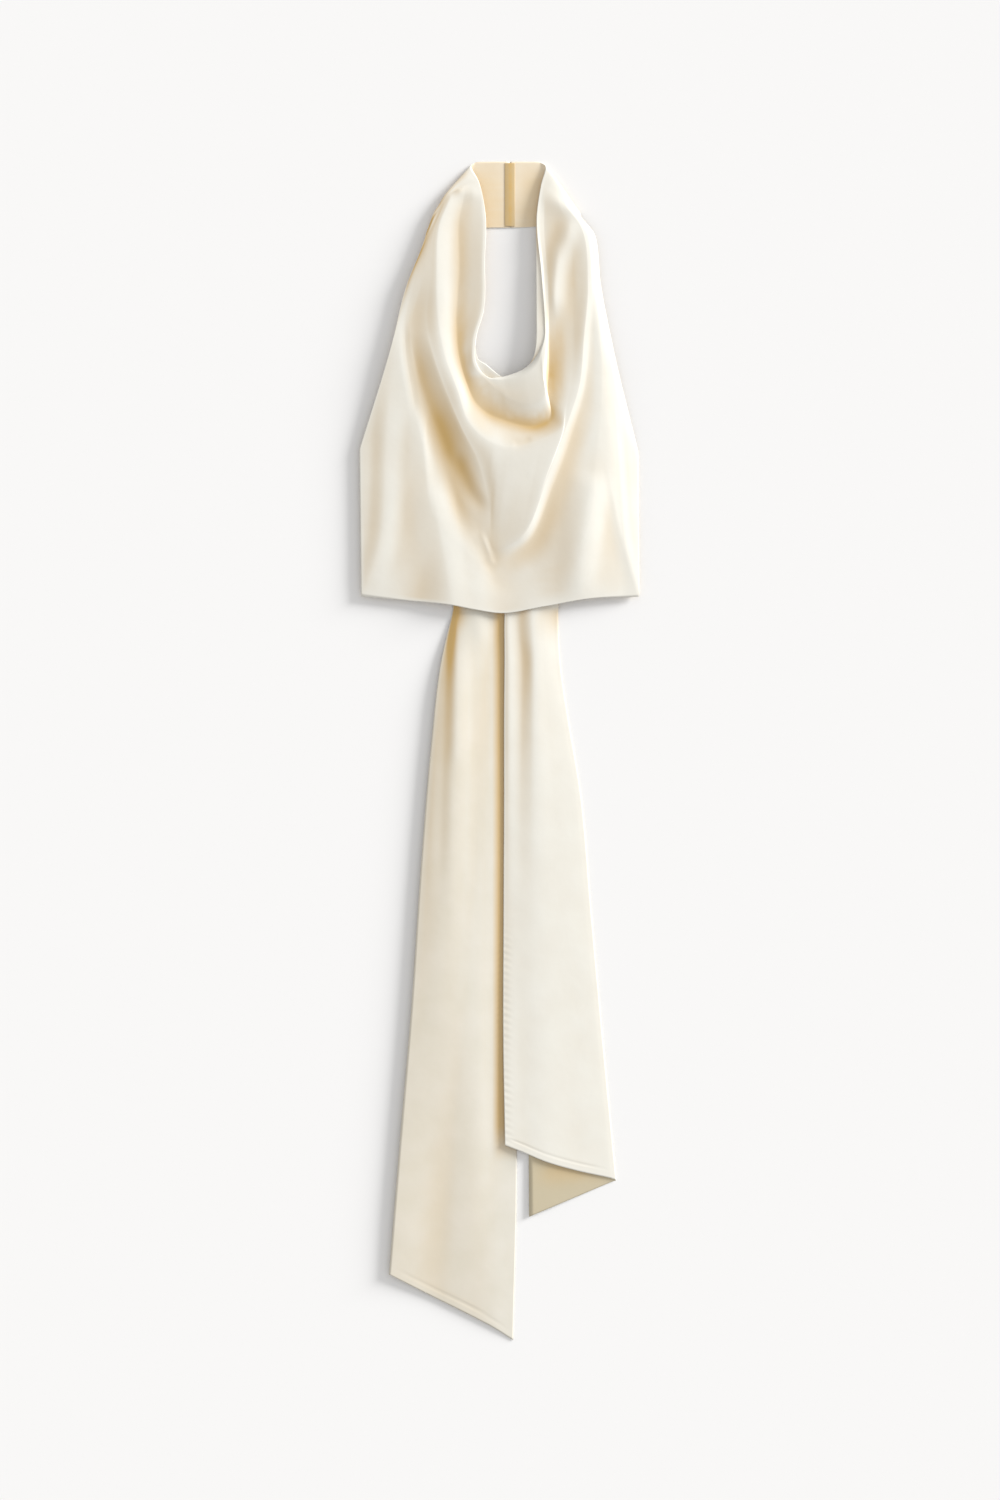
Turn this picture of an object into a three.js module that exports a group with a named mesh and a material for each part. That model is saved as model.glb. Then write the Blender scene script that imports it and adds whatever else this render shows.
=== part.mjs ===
// A halter neck top in satin, laid out flat on its back with the front upwards.
// The front is cut in one with the halter straps, which meet in a seam behind the neck.
// Its neckline hangs in a cowl: a rolled lip, a deep pocket, a roll and a hanging bib of cloth.
// A facing shows inside the neckline. Two wide flared ties start at the side seams, turn
// downwards behind the front and lie below the hem, the right one folded in two lengthwise.
// Millimetres. X runs across the top, Y up towards the neck, and Z up from the surface it lies on.
import * as THREE from "three";

// Driving sizes
const WHOLE_LENGTH = 1296; // from the top of the neck to the longest tie's tip
const TOP_Y = WHOLE_LENGTH / 2; // the neck's top edge, with the origin half way down
const WALL = 1.2; // thickness of the cloth
const SEAM_GAP = 0.35; // between pieces that are sewn together or lie on each other
const FLOOR = WALL / 2; // height of the middle of cloth that lies on the surface
const ON_ONE_LAYER = FLOOR + WALL + SEAM_GAP; // and of cloth that lies on one layer
const ON_FOLDED_HEM = 4.5; // and of cloth that lies on a turned edge
const SEAM_X = 11.3; // the seam behind the neck, where it lies in the layout
const SEAM_HALF_GAP = 0.2;
const BAND_HEIGHT = 72.5; // the halter at that seam
const ALLOWANCE_WIDTH = 11; // the seam allowance behind the neck
const ALLOWANCE_WALL = 0.8;
const ALLOWANCE_INSET = 1.5; // from the band's upper and lower edges

const IVORY = 0xe9e0d2;
const IVORY_INSIDE = 0xdfd5c6;

// Fold lines of the front, in order from the neck edge to the outer edge
const FRONT_LINES = ["neck", "lip", "pocket", "roll", "bib", "tuck", "crest", "side", "edge"];
const FRONT_STEPS = [1, 3, 3, 4, 2, 3, 3, 2]; // mesh cells between one line and the next

// How far each line is a hard crease, from 0, a soft bend, to 1, a sharp edge
const FRONT_CREASES = { lip: 0.6, pocket: 0.5, roll: 0.5, bib: 0.6, tuck: 0.5, crest: 0.2 };

// One row for each section across the cloth, from the seam behind the neck, over the left
// shoulder, round the cowl and back over the right shoulder. Each column is a fold line's point,
// [across, down, height], with down measured from the top of the neck. A line that a row leaves
// out runs evenly between its neighbours. steps is the number of mesh cells to the next section,
// and a corner is a section where the outer edge turns sharply.
const FRONT_SECTIONS = [
  { name: "nape left", steps: 1,
    neck: [SEAM_X - SEAM_HALF_GAP, 0, FLOOR], edge: [SEAM_X - SEAM_HALF_GAP, BAND_HEIGHT, FLOOR] },
  { name: "back left", steps: 1,
    neck: [-12, 0, FLOOR], edge: [-21, 73, FLOOR] },
  { name: "under left fold", steps: 2,
    neck: [-27, 1, FLOOR], edge: [-70, 84, FLOOR] },
  { name: "left fold", steps: 2,
    neck: [-31, 4, 3], pocket: [-50, 26, 5], roll: [-60, 38, 5.8], tuck: [-73, 59, 6],
    edge: [-83, 88, 5.6] },
  { name: "left shoulder roll", steps: 2,
    neck: [-23, 22, 5.9], lip: [-26, 23.8, 6.2], pocket: [-40, 29, 6.5], roll: [-54, 38, 8],
    bib: [-61, 46, 8], tuck: [-67, 54, 7.8], crest: [-71, 62, 7.8], side: [-76, 74, 7.4],
    edge: [-83.5, 94, 6.6] },
  { name: "left shoulder", steps: 3,
    neck: [-15.4, 58, 8.9], lip: [-18.6, 59, 9.1], pocket: [-44.5, 67, 7.6], roll: [-66, 72, 10.3],
    bib: [-73.5, 77, 10], tuck: [-77.5, 82, 9.5], crest: [-81, 88, 9], side: [-84, 93, 8.5],
    edge: [-87, 100, 8] },
  { name: "left strap", steps: 3,
    neck: [-16, 110, 12], lip: [-19, 110.8, 12.1], pocket: [-46, 117, 10], roll: [-69, 121, 12.8],
    bib: [-76.5, 124, 12.1], tuck: [-84, 127.6, 11.2], crest: [-92, 131, 10.3], side: [-97, 133, 9.7],
    edge: [-102, 137, 9.1] },
  { name: "left chest", steps: 3,
    neck: [-17, 163, 12.5], lip: [-20, 163.8, 12.7], pocket: [-47, 179, 10.3], roll: [-66, 185, 13.1],
    bib: [-80, 188, 11.4], tuck: [-97, 189, 8.7], crest: [-105, 191, 8.1], side: [-112, 194, 7.6],
    edge: [-118, 201, 7] },
  { name: "left underarm", steps: 4, corner: true,
    neck: [-26, 198, 12.5], lip: [-29.2, 199.6, 12.7], pocket: [-45, 210, 9.8], roll: [-60, 214.5, 13.6],
    bib: [-72, 218, 12.5], tuck: [-90, 228, 8.1], crest: [-99, 253, 7.8], side: [-122.6, 284, 5.4],
    edge: [-154, 317, ON_ONE_LAYER] },
  { name: "left hem corner", steps: 4, corner: true,
    neck: [-24.8, 224, 12.5], lip: [-26.8, 227, 12.7], pocket: [-37, 244, 9.8], roll: [-45.6, 254, 14.2],
    bib: [-57, 259, 13.3], tuck: [-77, 270, 8.7], crest: [-86, 306, 9.2], side: [-126, 405, 5.1],
    edge: [-152, 478, ON_ONE_LAYER] },
  { name: "hem at the left", steps: 3,
    neck: [-17, 235, 12], lip: [-16.5, 238.5, 12.2], pocket: [-25, 268, 9.9], roll: [-34.6, 286, 14.4],
    bib: [-43.5, 295, 13.8], tuck: [-66, 311, 8.7], crest: [-69, 394, 10], side: [-88.5, 454, 8],
    edge: [-100.6, 483, 5.9] },
  { name: "hem left of centre", steps: 2,
    neck: [-10.5, 238.7, 12.2], lip: [-7, 247.5, 12.4], pocket: [-9, 284, 10.3], roll: [-17, 305, 15],
    bib: [-25, 328, 13.8], tuck: [-46, 352, 8.9], crest: [-44, 421, 10.3], side: [-49, 465, 10.3],
    edge: [-52, 488, 9.8] },
  { name: "hem beside the centre", steps: 2,
    neck: [-4, 238.5, 12.6], lip: [0, 253, 12.7], pocket: [1, 289, 10.6], roll: [-4, 312, 15.4],
    bib: [-12, 376, 12.2], tuck: [-26, 396, 8.6], crest: [-24, 443, 9.3], side: [-26, 473, 9.4],
    edge: [-26, 493, 8.9] },
  { name: "centre", steps: 4,
    neck: [4, 237.6, 13], lip: [7, 258.5, 13.2], pocket: [12, 294, 10.9], roll: [9.4, 315.7, 15.6],
    bib: [-3.4, 425, 9.8], tuck: [-4.4, 439, 7.8], crest: [-2.8, 461, 7.8], side: [-0.6, 480, 7.8],
    edge: [0.5, 496.6, 7.4] },
  { name: "hem right of centre", steps: 3,
    neck: [27, 229, 15.4], lip: [33.5, 276, 15.2], pocket: [42, 300, 12.2], roll: [44.5, 308, 16],
    bib: [22.6, 413.6, 13.4], tuck: [25, 423, 9], crest: [33.5, 454, 8.7], side: [41, 474, 8.6],
    edge: [48, 489.5, 8.4] },
  { name: "hem at the right", steps: 3,
    neck: [39.5, 216.7, 17], lip: [49, 258.5, 17], pocket: [59, 286, 12], roll: [67.5, 293.6, 16],
    bib: [53.4, 345.4, 15.6], tuck: [57.5, 354, 12], crest: [84, 424, 12.4], side: [92, 460, 10.6],
    edge: [99.5, 480.7, 8.4] },
  { name: "right hem corner", steps: 4, corner: true,
    neck: [45.5, 205.7, 17.5], lip: [48, 237.6, 17.5], pocket: [58, 252, 11.8], roll: [72, 273, 15],
    bib: [75, 287, 15.2], tuck: [80, 294, 12.4], crest: [107, 317, 13.2], side: [134.8, 416, 7.8],
    edge: [153.5, 478.5, ON_FOLDED_HEM] },
  { name: "right underarm", steps: 3, corner: true,
    neck: [49.5, 193.6, 16.6], lip: [52, 197.5, 16], pocket: [60, 232, 11.5], roll: [76.5, 243, 14.2],
    bib: [87, 249, 14.6], tuck: [92, 253, 12.6], crest: [112, 263, 12.9], side: [131.5, 289, 7.8],
    edge: [152.4, 319, ON_ONE_LAYER] },
  { name: "right chest", steps: 3,
    neck: [49.5, 176, 14], lip: [52, 177.6, 13.4], pocket: [60, 186, 10.9], roll: [80, 192, 12.7],
    bib: [92.5, 194, 14.2], tuck: [99, 196, 12.8], crest: [111, 200, 12], side: [118, 203.5, 9.8],
    edge: [125, 207, 6.5] },
  { name: "right strap", steps: 3,
    neck: [45.6, 123, 11.1], lip: [48.6, 124.2, 9.8], pocket: [53, 129, 9.5], roll: [80, 133, 10.3],
    bib: [97, 135, 12], tuck: [101.4, 136.4, 11.4], crest: [104.5, 137.5, 10.3], side: [108, 138.6, 8.9],
    edge: [111.6, 139.7, 7] },
  { name: "right shoulder", steps: 2,
    neck: [41, 58, 8.4], lip: [43.8, 59.8, 8.1], pocket: [49, 65, 7.8], roll: [75, 69, 9.2],
    bib: [89, 71.6, 9.8], tuck: [93, 73, 9.2], crest: [96.5, 74.5, 8.4], side: [99.8, 76, 7.6],
    edge: [102.8, 78, 6.2] },
  { name: "right shoulder roll", steps: 2,
    neck: [45.6, 26.4, 5.9], lip: [48, 28.8, 6.1], pocket: [52, 33, 6.7], roll: [65, 42, 8.1],
    bib: [72, 46, 8.1], tuck: [76.5, 49.4, 7.8], crest: [80.5, 53, 7], side: [84.5, 56.6, 6.2],
    edge: [89.5, 61, 4.8] },
  { name: "right fold", steps: 2,
    neck: [50, 4, 2.9], pocket: [60, 17, 3.7], roll: [70, 30.5, 4.3], crest: [80, 45, 3.7],
    edge: [88.5, 57, 2.9] },
  { name: "under right fold", steps: 1,
    neck: [45, 1, FLOOR], edge: [76, 64, FLOOR] },
  { name: "back right", steps: 1,
    neck: [30, 0, FLOOR], edge: [38, 71.5, FLOOR] },
  { name: "nape right",
    neck: [SEAM_X + SEAM_HALF_GAP, 0, FLOOR], edge: [SEAM_X + SEAM_HALF_GAP, BAND_HEIGHT, FLOOR] },
];

// Single folds laid over that form between the two shoulders. A row for each gives its start,
// middle and end, [across, down], its rise, below zero for a trough, and its half width.
const FRONT_FOLDS = [
  { name: "left fold down to the hem", from: [-75, 345], by: [-66, 415], to: [-50, 505], rise: 1,
    halfWidth: 30 },
  { name: "right fold down to the hem", from: [104, 340], by: [92, 405], to: [84, 505], rise: 1.2,
    halfWidth: 28 },
  { name: "pinch beside the bib", from: [-52, 318], by: [-34, 362], to: [-14, 386], rise: -0.8,
    halfWidth: 13 },
  { name: "soft ridge at the left side", from: [-118, 240], by: [-128, 350], to: [-150, 471], rise: 0.9,
    halfWidth: 21 },
  { name: "pleat of the right strap", from: [80, 56], by: [58, 115], to: [63, 176], rise: 1.8,
    halfWidth: 17 },
];

// The free edge of the facing, at the sections of the front that it hangs from
const FACING_EDGE = [
  { at: "left chest", free: [-18.5, 163, 7.6] },
  { at: "left underarm", free: [-26.5, 198, 7.6] },
  { at: "left hem corner", free: [-22.5, 219, 7.4] },
  { at: "hem at the left", free: [-15, 223.5, 7.2] },
  { at: "hem left of centre", free: [-7.5, 230, 7.4] },
  { at: "centre", free: [4, 238, 8.2] },
  { at: "hem right of centre", free: [28, 230, 10.6] },
  { at: "hem at the right", free: [38, 214, 12.2] },
  { at: "right hem corner", free: [39.5, 205, 12.6] },
  { at: "right underarm", free: [40.2, 193, 11.6] },
  { at: "right chest", free: [40.2, 174, 9.2] },
  { at: "right strap", free: [40.2, 122, 7] },
  { at: "right shoulder", free: [40.4, 60, 5] },
];
const FACING_COVER = 1; // mesh cells of the front, from the neck edge to the lip, that lie on the facing
const FACING_DROP = 2.4; // from the middle of the front's cloth down to the middle of the facing's

// Left tie: a row for each section from the side seam to the end. outer is the edge that
// is the left one below the hem, and inner the one that lies under the right tie.
const LEFT_TIE_LINES = ["outer", "rise", "middle", "dip", "inner"];
const LEFT_TIE_STEPS = [2, 2, 2, 2];
const LEFT_TIE_SECTIONS = [
  { steps: 1, outer: [-151, 474, FLOOR], inner: [-151.5, 322, FLOOR] },
  { steps: 1, outer: [-128, 474.5, FLOOR], inner: [-131.5, 332, FLOOR] },
  { steps: 1, outer: [-108, 475, FLOOR], inner: [-112, 343, FLOOR] },
  { steps: 1, outer: [-77, 476, FLOOR], rise: [-76, 462, 2.3], middle: [-75, 440, FLOOR],
    dip: [-75, 410, 2.3], inner: [-74, 374, FLOOR] },
  { steps: 1, outer: [-62, 478, FLOOR], rise: [-58, 465, 3.2], middle: [-54, 444, 1], dip: [-49, 420, 2.9],
    inner: [-45, 392, FLOOR] },
  { steps: 1, outer: [-55, 481, FLOOR], rise: [-48, 471, 4], middle: [-39, 457, 2], dip: [-30, 440, 2.9],
    inner: [-20, 420, FLOOR] },
  { steps: 1, outer: [-51.5, 485, FLOOR], rise: [-45, 481, 4.5], middle: [-31, 474, 2.9],
    dip: [-16, 464, 2.3], inner: [1, 453, FLOOR] },
  { steps: 2, outer: [-51, 491, FLOOR], rise: [-46, 491, 3], middle: [-24, 491, 4.4], dip: [-8, 491, 2],
    inner: [10, 490, FLOOR] },
  { steps: 2, outer: [-64, 548, 2], rise: [-48, 548, 3.2], middle: [-22, 548, 4.4], dip: [-8, 548, 2.4],
    inner: [11, 548, FLOOR] },
  { steps: 2, outer: [-75, 640, 2.6], rise: [-50, 640, 3.4], middle: [-22, 640, 4.2], dip: [-7, 640, 2.6],
    inner: [12, 640, FLOOR] },
  { steps: 2, outer: [-86, 770, 2.8], rise: [-54, 770, 3.2], middle: [-22, 770, 3.8], dip: [-6, 770, 2.6],
    inner: [13, 770, FLOOR] },
  { steps: 2, outer: [-97, 930, 2.8], rise: [-58, 930, 3], middle: [-22, 932, 3.4], dip: [-6, 933, 2.4],
    inner: [15, 934, FLOOR] },
  { steps: 2, outer: [-109.5, 1076, 2.8], rise: [-64, 1084, 2.8], middle: [-24, 1092, 3.2],
    dip: [-6, 1097, 2.4], inner: [19, 1102, FLOOR] },
  { outer: [-121.5, 1223, 2.8], rise: [-75, 1247, 2.6], middle: [-35, 1267, 2.4], dip: [-5, 1283, 1.8],
    inner: [15, 1296, FLOOR] },
];

// Right tie, folded in two along its right side. free is its left edge below the hem, on top of
// the left tie, and hidden is the other edge, which lies underneath beyond the fold.
const RIGHT_TIE_LINES = ["free", "ridge", "valley", "crest", "slope", "lip", "fold", "under", "hidden"];
const RIGHT_TIE_STEPS = [1, 2, 2, 2, 2, 1, 1, 3];
const RIGHT_TIE_SECTIONS = [
  { steps: 1, free: [152, 323, FLOOR], slope: [152, 462, 1.6], lip: [152, 470, 2.8], fold: [152, 475, 2.1],
    under: [152, 471, FLOOR], hidden: [152, 466, FLOOR] },
  { steps: 1, free: [112, 343, FLOOR], slope: [109, 462, 2.2], lip: [108.5, 472, 3.2],
    fold: [108, 477, 2.3], under: [108.5, 472, FLOOR], hidden: [109, 462, FLOOR] },
  { steps: 1, free: [82, 374, FLOOR], ridge: [81, 393, 2.3], valley: [80, 416, 1], crest: [79, 438, 3.2],
    slope: [78, 457, 3.2], lip: [77.5, 470, 3.5], fold: [77, 476, 2.4], under: [77.5, 471, FLOOR],
    hidden: [78, 458, FLOOR] },
  { steps: 1, free: [50, 392, FLOOR], ridge: [54, 410, 2.6], valley: [58, 429, 1.5], crest: [61, 446, 3.7],
    slope: [64, 461, 4], lip: [68, 472, 3.9], fold: [71, 478, 2.6], under: [68, 473, FLOOR],
    hidden: [64, 459, FLOOR] },
  { steps: 1, free: [26, 420, 2.6], ridge: [33, 431, 3.7], valley: [42, 444, 2.6], crest: [51, 457, 4.8],
    slope: [58, 468, 4.8], lip: [64, 477, 4.3], fold: [67.5, 481, 2.7], under: [64, 477.5, FLOOR],
    hidden: [54, 466, FLOOR] },
  { steps: 1, free: [10, 450, 3.7], ridge: [16, 455, 4.5], valley: [28, 464, 2.8], crest: [42, 474, 5.6],
    slope: [53, 481, 5.1], lip: [61, 485, 4.4], fold: [65, 487, 2.7], under: [61, 485.5, FLOOR],
    hidden: [47, 479, FLOOR] },
  { steps: 2, free: [6, 491, 4.7], ridge: [9.5, 491.5, 4.8], valley: [20, 492, 3.8],
    crest: [37, 492.5, 5.4], slope: [50, 493, 5], lip: [60, 493.5, 4], fold: [64.2, 494, 2.4],
    under: [60, 493.5, FLOOR], hidden: [44, 492, FLOOR] },
  { steps: 2, free: [5.5, 550, 5], ridge: [9.5, 550, 5], valley: [24, 550, 3.9], crest: [38, 550, 5.2],
    slope: [52, 550, 4.8], lip: [62, 550, 3.8], fold: [66.5, 550, 2.3], under: [62, 550, FLOOR],
    hidden: [42, 550, FLOOR] },
  { steps: 2, free: [5, 610, 5.1], ridge: [9.5, 610, 5.1], valley: [23, 610, 4.1], crest: [38, 610, 5],
    slope: [56, 610, 4.6], lip: [70.5, 610, 3.6], fold: [75, 610, 2.3], under: [70.5, 610, FLOOR],
    hidden: [40, 610, FLOOR] },
  { steps: 2, free: [5, 691, 5], ridge: [9.5, 691, 5], valley: [22, 691, 4.2], crest: [38, 691, 4.9],
    slope: [62, 691, 4.4], lip: [84, 691, 3.4], fold: [88.5, 691, 2.2], under: [84, 691, FLOOR],
    hidden: [38, 691, FLOOR] },
  { steps: 2, free: [4.4, 825, 4.6], ridge: [9.5, 825, 4.6], valley: [22, 825, 4.3], crest: [40, 825, 4.8],
    slope: [68, 825, 4.2], lip: [96, 825, 3.2], fold: [100.6, 825, 2.1], under: [96, 825, FLOOR],
    hidden: [35, 825, FLOOR] },
  { steps: 2, free: [4, 960, 4.2], ridge: [9.5, 960, 4.3], valley: [22, 961, 4.3], crest: [42, 962, 4.6],
    slope: [76, 964, 4], lip: [109, 966, 3], fold: [113.5, 967, 2], under: [109, 967, FLOOR],
    hidden: [32, 968, FLOOR] },
  { free: [6, 1081, 3.6], ridge: [11, 1083, 3.7], valley: [24, 1088, 3.9], crest: [50, 1099, 4],
    slope: [84, 1109, 3.6], lip: [123.5, 1118, 2.8], fold: [128, 1120, 1.9], under: [124, 1121.5, FLOOR],
    hidden: [32.5, 1160, FLOOR] },
];

// A table's point, [across, down, height], in the top's own frame
function place([across, down, height]) {
  return new THREE.Vector3(across, TOP_Y - down, height);
}

// The points of a row in the order of its lines, with the lines it leaves out spaced evenly
function rowPoints(row, lines) {
  const points = lines.map((line) => (row[line] ? place(row[line]) : null));
  let last = 0;
  points.forEach((point, index) => {
    if (!point) {
      return;
    }
    for (let between = last + 1; between < index; between += 1) {
      const share = (between - last) / (index - last);
      points[between] = points[last].clone().lerp(point, share);
    }
    last = index;
  });
  return points;
}

// A smooth run through points, in a given number of steps from each to the next. The crease at a
// point, from 0 to 1, turns the run there from a soft bend into a corner.
function smoothRun(points, steps, creases) {
  const chords = points.slice(1).map((point, index) => point.clone().sub(points[index]));
  const slopes = chords.map((chord) => chord.clone().divideScalar(Math.max(chord.length(), 0.01)));
  const bends = points.map((_, index) => {
    const before = slopes[Math.max(index - 1, 0)];
    const after = slopes[Math.min(index, slopes.length - 1)];
    const lengthBefore = chords[Math.max(index - 1, 0)].length();
    const lengthAfter = chords[Math.min(index, chords.length - 1)].length();
    const share = lengthBefore / Math.max(lengthBefore + lengthAfter, 0.01);
    return { slope: before.clone().lerp(after, share), reach: 2 * Math.min(lengthBefore, lengthAfter) };
  });
  const run = [points[0].clone()];
  chords.forEach((chord, index) => {
    const length = chord.length();
    const pull = (bend, crease) => {
      const soft = bend.slope.clone().multiplyScalar(Math.min(length, bend.reach));
      return soft.lerp(chord, crease);
    };
    const leaving = pull(bends[index], creases[index]);
    const arriving = pull(bends[index + 1], creases[index + 1]);
    for (let step = 1; step <= steps[index]; step += 1) {
      const t = step / steps[index];
      const point = points[index].clone().multiplyScalar(1 - t * t * (3 - 2 * t));
      point.addScaledVector(points[index + 1], t * t * (3 - 2 * t));
      point.addScaledVector(leaving, t * (1 - t) * (1 - t));
      point.addScaledVector(arriving, -t * t * (1 - t));
      run.push(point);
    }
  });
  return run;
}

// A grid of points over a table of sections: first along each line, then across each section
function gridFromSections(sections, lines, lineSteps, lineCreases) {
  const rows = sections.map((section) => rowPoints(section, lines));
  const sectionSteps = sections.slice(0, -1).map((section) => section.steps);
  const runs = lines.map((line, lineIndex) => {
    const turnsSharply = line === "edge" || line === "side";
    const creases = sections.map((section) => (section.corner && turnsSharply ? 1 : 0));
    return smoothRun(rows.map((row) => row[lineIndex]), sectionSteps, creases);
  });
  const creases = lines.map((line) => lineCreases[line] ?? 0);
  return runs[0].map((_, index) => smoothRun(runs.map((run) => run[index]), lineSteps, creases));
}

// No part of the cloth sinks below the surface that the top lies on
function restOnSurface(grid) {
  for (const point of grid.flat()) {
    point.z = Math.max(point.z, FLOOR);
  }
  return grid;
}

// Where a section starts in the grid made from its table
function gridIndexOf(sections, name) {
  let index = 0;
  for (const section of sections) {
    if (section.name === name) {
      return index;
    }
    index += section.steps ?? 0;
  }
  throw new Error(`no section is named ${name}`);
}

// The direction square to a grid of points at one of them
function normalAt(grid, i, j) {
  const along = grid[Math.min(i + 1, grid.length - 1)][j].clone().sub(grid[Math.max(i - 1, 0)][j]);
  const row = grid[i];
  const across = row[Math.min(j + 1, row.length - 1)].clone().sub(row[Math.max(j - 1, 0)]);
  return across.cross(along).normalize();
}

// The grid moved out along its own normals
function offsetGrid(grid, distance) {
  return grid.map((row, i) => row.map((point, j) => point.clone().addScaledVector(normalAt(grid, i, j), distance)));
}

// A closed wall of cloth round a grid of points
function wallFromGrid(grid, wall) {
  const rowCount = grid.length;
  const columnCount = grid[0].length;
  const layers = [offsetGrid(grid, wall / 2), offsetGrid(grid, -wall / 2)];
  const positions = layers.flatMap((layer) => layer.flatMap((row) => row.flatMap((point) => point.toArray())));
  const upper = (i, j) => i * columnCount + j;
  const lower = (i, j) => rowCount * columnCount + upper(i, j);
  const triangles = [];
  const addQuad = (a, b, c, d) => triangles.push(a, b, c, a, c, d);
  for (let i = 0; i < rowCount - 1; i += 1) {
    for (let j = 0; j < columnCount - 1; j += 1) {
      const straight = grid[i][j].distanceTo(grid[i + 1][j + 1]) <= grid[i][j + 1].distanceTo(grid[i + 1][j]);
      const corners = [[i, j], [i, j + 1], [i + 1, j + 1], [i + 1, j]];
      const order = straight ? corners : [corners[1], corners[2], corners[3], corners[0]];
      addQuad(...order.map((corner) => upper(...corner)));
      const reversed = [order[0], order[3], order[2], order[1]];
      addQuad(...reversed.map((corner) => lower(...corner)));
    }
  }
  for (let i = 0; i < rowCount - 1; i += 1) {
    addQuad(upper(i, 0), upper(i + 1, 0), lower(i + 1, 0), lower(i, 0));
    const j = columnCount - 1;
    addQuad(upper(i + 1, j), upper(i, j), lower(i, j), lower(i + 1, j));
  }
  for (let j = 0; j < columnCount - 1; j += 1) {
    addQuad(upper(0, j + 1), upper(0, j), lower(0, j), lower(0, j + 1));
    const i = rowCount - 1;
    addQuad(upper(i, j), upper(i, j + 1), lower(i, j + 1), lower(i, j));
  }
  const geometry = new THREE.BufferGeometry();
  geometry.setAttribute("position", new THREE.Float32BufferAttribute(positions, 3));
  geometry.setIndex(triangles);
  geometry.computeVertexNormals();
  return geometry;
}

// How far a single fold raises the cloth at a point
function foldRise(fold, point) {
  const flat = (values) => new THREE.Vector3(values[0], TOP_Y - values[1], 0);
  const spine = new THREE.QuadraticBezierCurve3(flat(fold.from), flat(fold.by), flat(fold.to));
  const here = new THREE.Vector3(point.x, point.y, 0);
  const samples = 24;
  let nearest = Infinity;
  let nearestShare = 0;
  for (let sample = 0; sample <= samples; sample += 1) {
    const distance = spine.getPoint(sample / samples).distanceTo(here);
    if (distance < nearest) {
      nearest = distance;
      nearestShare = sample / samples;
    }
  }
  if (nearest >= fold.halfWidth) {
    return 0;
  }
  const acrossShape = 0.5 + 0.5 * Math.cos((Math.PI * nearest) / fold.halfWidth);
  const alongShape = Math.min(1, 4 * Math.min(nearestShare + 0.05, 1.3 - nearestShare));
  return fold.rise * acrossShape * alongShape;
}

// The front, its straps and the halter's band behind the neck, as one sheet
function frontGrid() {
  const grid = gridFromSections(FRONT_SECTIONS, FRONT_LINES, FRONT_STEPS, FRONT_CREASES);
  const first = gridIndexOf(FRONT_SECTIONS, "left shoulder");
  const last = gridIndexOf(FRONT_SECTIONS, "right shoulder");
  for (let i = first; i <= last; i += 1) {
    for (const point of grid[i]) {
      const rises = FRONT_FOLDS.map((fold) => foldRise(fold, point));
      point.z += rises.reduce((sum, rise) => sum + rise, 0);
    }
  }
  return restOnSurface(grid);
}

// The facing: it lies against the inside of the front beside the neckline, and its free edge
// hangs into the neck opening
function facingGrid(front) {
  const inside = front.map((row) => row.map((point) => point.clone().setZ(point.z - FACING_DROP)));
  const first = gridIndexOf(FRONT_SECTIONS, FACING_EDGE[0].at);
  const stations = FACING_EDGE.map((row) => gridIndexOf(FRONT_SECTIONS, row.at));
  const steps = stations.slice(1).map((station, index) => station - stations[index]);
  const freeEdge = smoothRun(FACING_EDGE.map((row) => place(row.free)), steps, stations.map(() => 0));
  return freeEdge.map((free, index) => {
    const covered = inside[first + index].slice(0, FACING_COVER + 1).reverse();
    const sewn = covered[covered.length - 1];
    return [...covered, sewn.clone().lerp(free, 0.5), free];
  });
}

// The pressed seam allowance that lies on the band behind the neck
function allowanceGrid() {
  const height = WALL + SEAM_GAP + ALLOWANCE_WALL / 2;
  const sides = [SEAM_X - ALLOWANCE_WIDTH / 2, SEAM_X, SEAM_X + ALLOWANCE_WIDTH / 2];
  const downs = [ALLOWANCE_INSET, BAND_HEIGHT / 2, BAND_HEIGHT - ALLOWANCE_INSET];
  return sides.map((across) => downs.map((down) => place([across, down, height])));
}

const satin = new THREE.MeshStandardMaterial({ color: IVORY, roughness: 0.42, metalness: 0 });
const satinInside = new THREE.MeshStandardMaterial({ color: IVORY_INSIDE, roughness: 0.6, metalness: 0 });

// A named piece of the top
function piece(name, grid, wall, material) {
  const mesh = new THREE.Mesh(wallFromGrid(grid, wall), material);
  mesh.name = name;
  return mesh;
}

const front = frontGrid();
const leftTie = restOnSurface(gridFromSections(LEFT_TIE_SECTIONS, LEFT_TIE_LINES, LEFT_TIE_STEPS, {}));
const rightTie = restOnSurface(gridFromSections(RIGHT_TIE_SECTIONS, RIGHT_TIE_LINES, RIGHT_TIE_STEPS, {}));

const halterTop = new THREE.Group();
halterTop.name = "halter_neck_top";
halterTop.add(piece("front_panel", front, WALL, satin));
halterTop.add(piece("neck_facing", facingGrid(front), WALL, satin));
halterTop.add(piece("neck_seam_allowance", allowanceGrid(), ALLOWANCE_WALL, satinInside));
halterTop.add(piece("tie_left", leftTie, WALL, satin));
halterTop.add(piece("tie_right", rightTie, WALL, satin));

export default halterTop;
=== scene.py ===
"""Halter neck top in ivory satin, laid out flat and seen from straight above.

It is laid out as a Blender add-on and run as a script. The tables give places on the top in
millimetres, as [across, down from the top of the neck, height above the surface].
"""

import math

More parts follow.
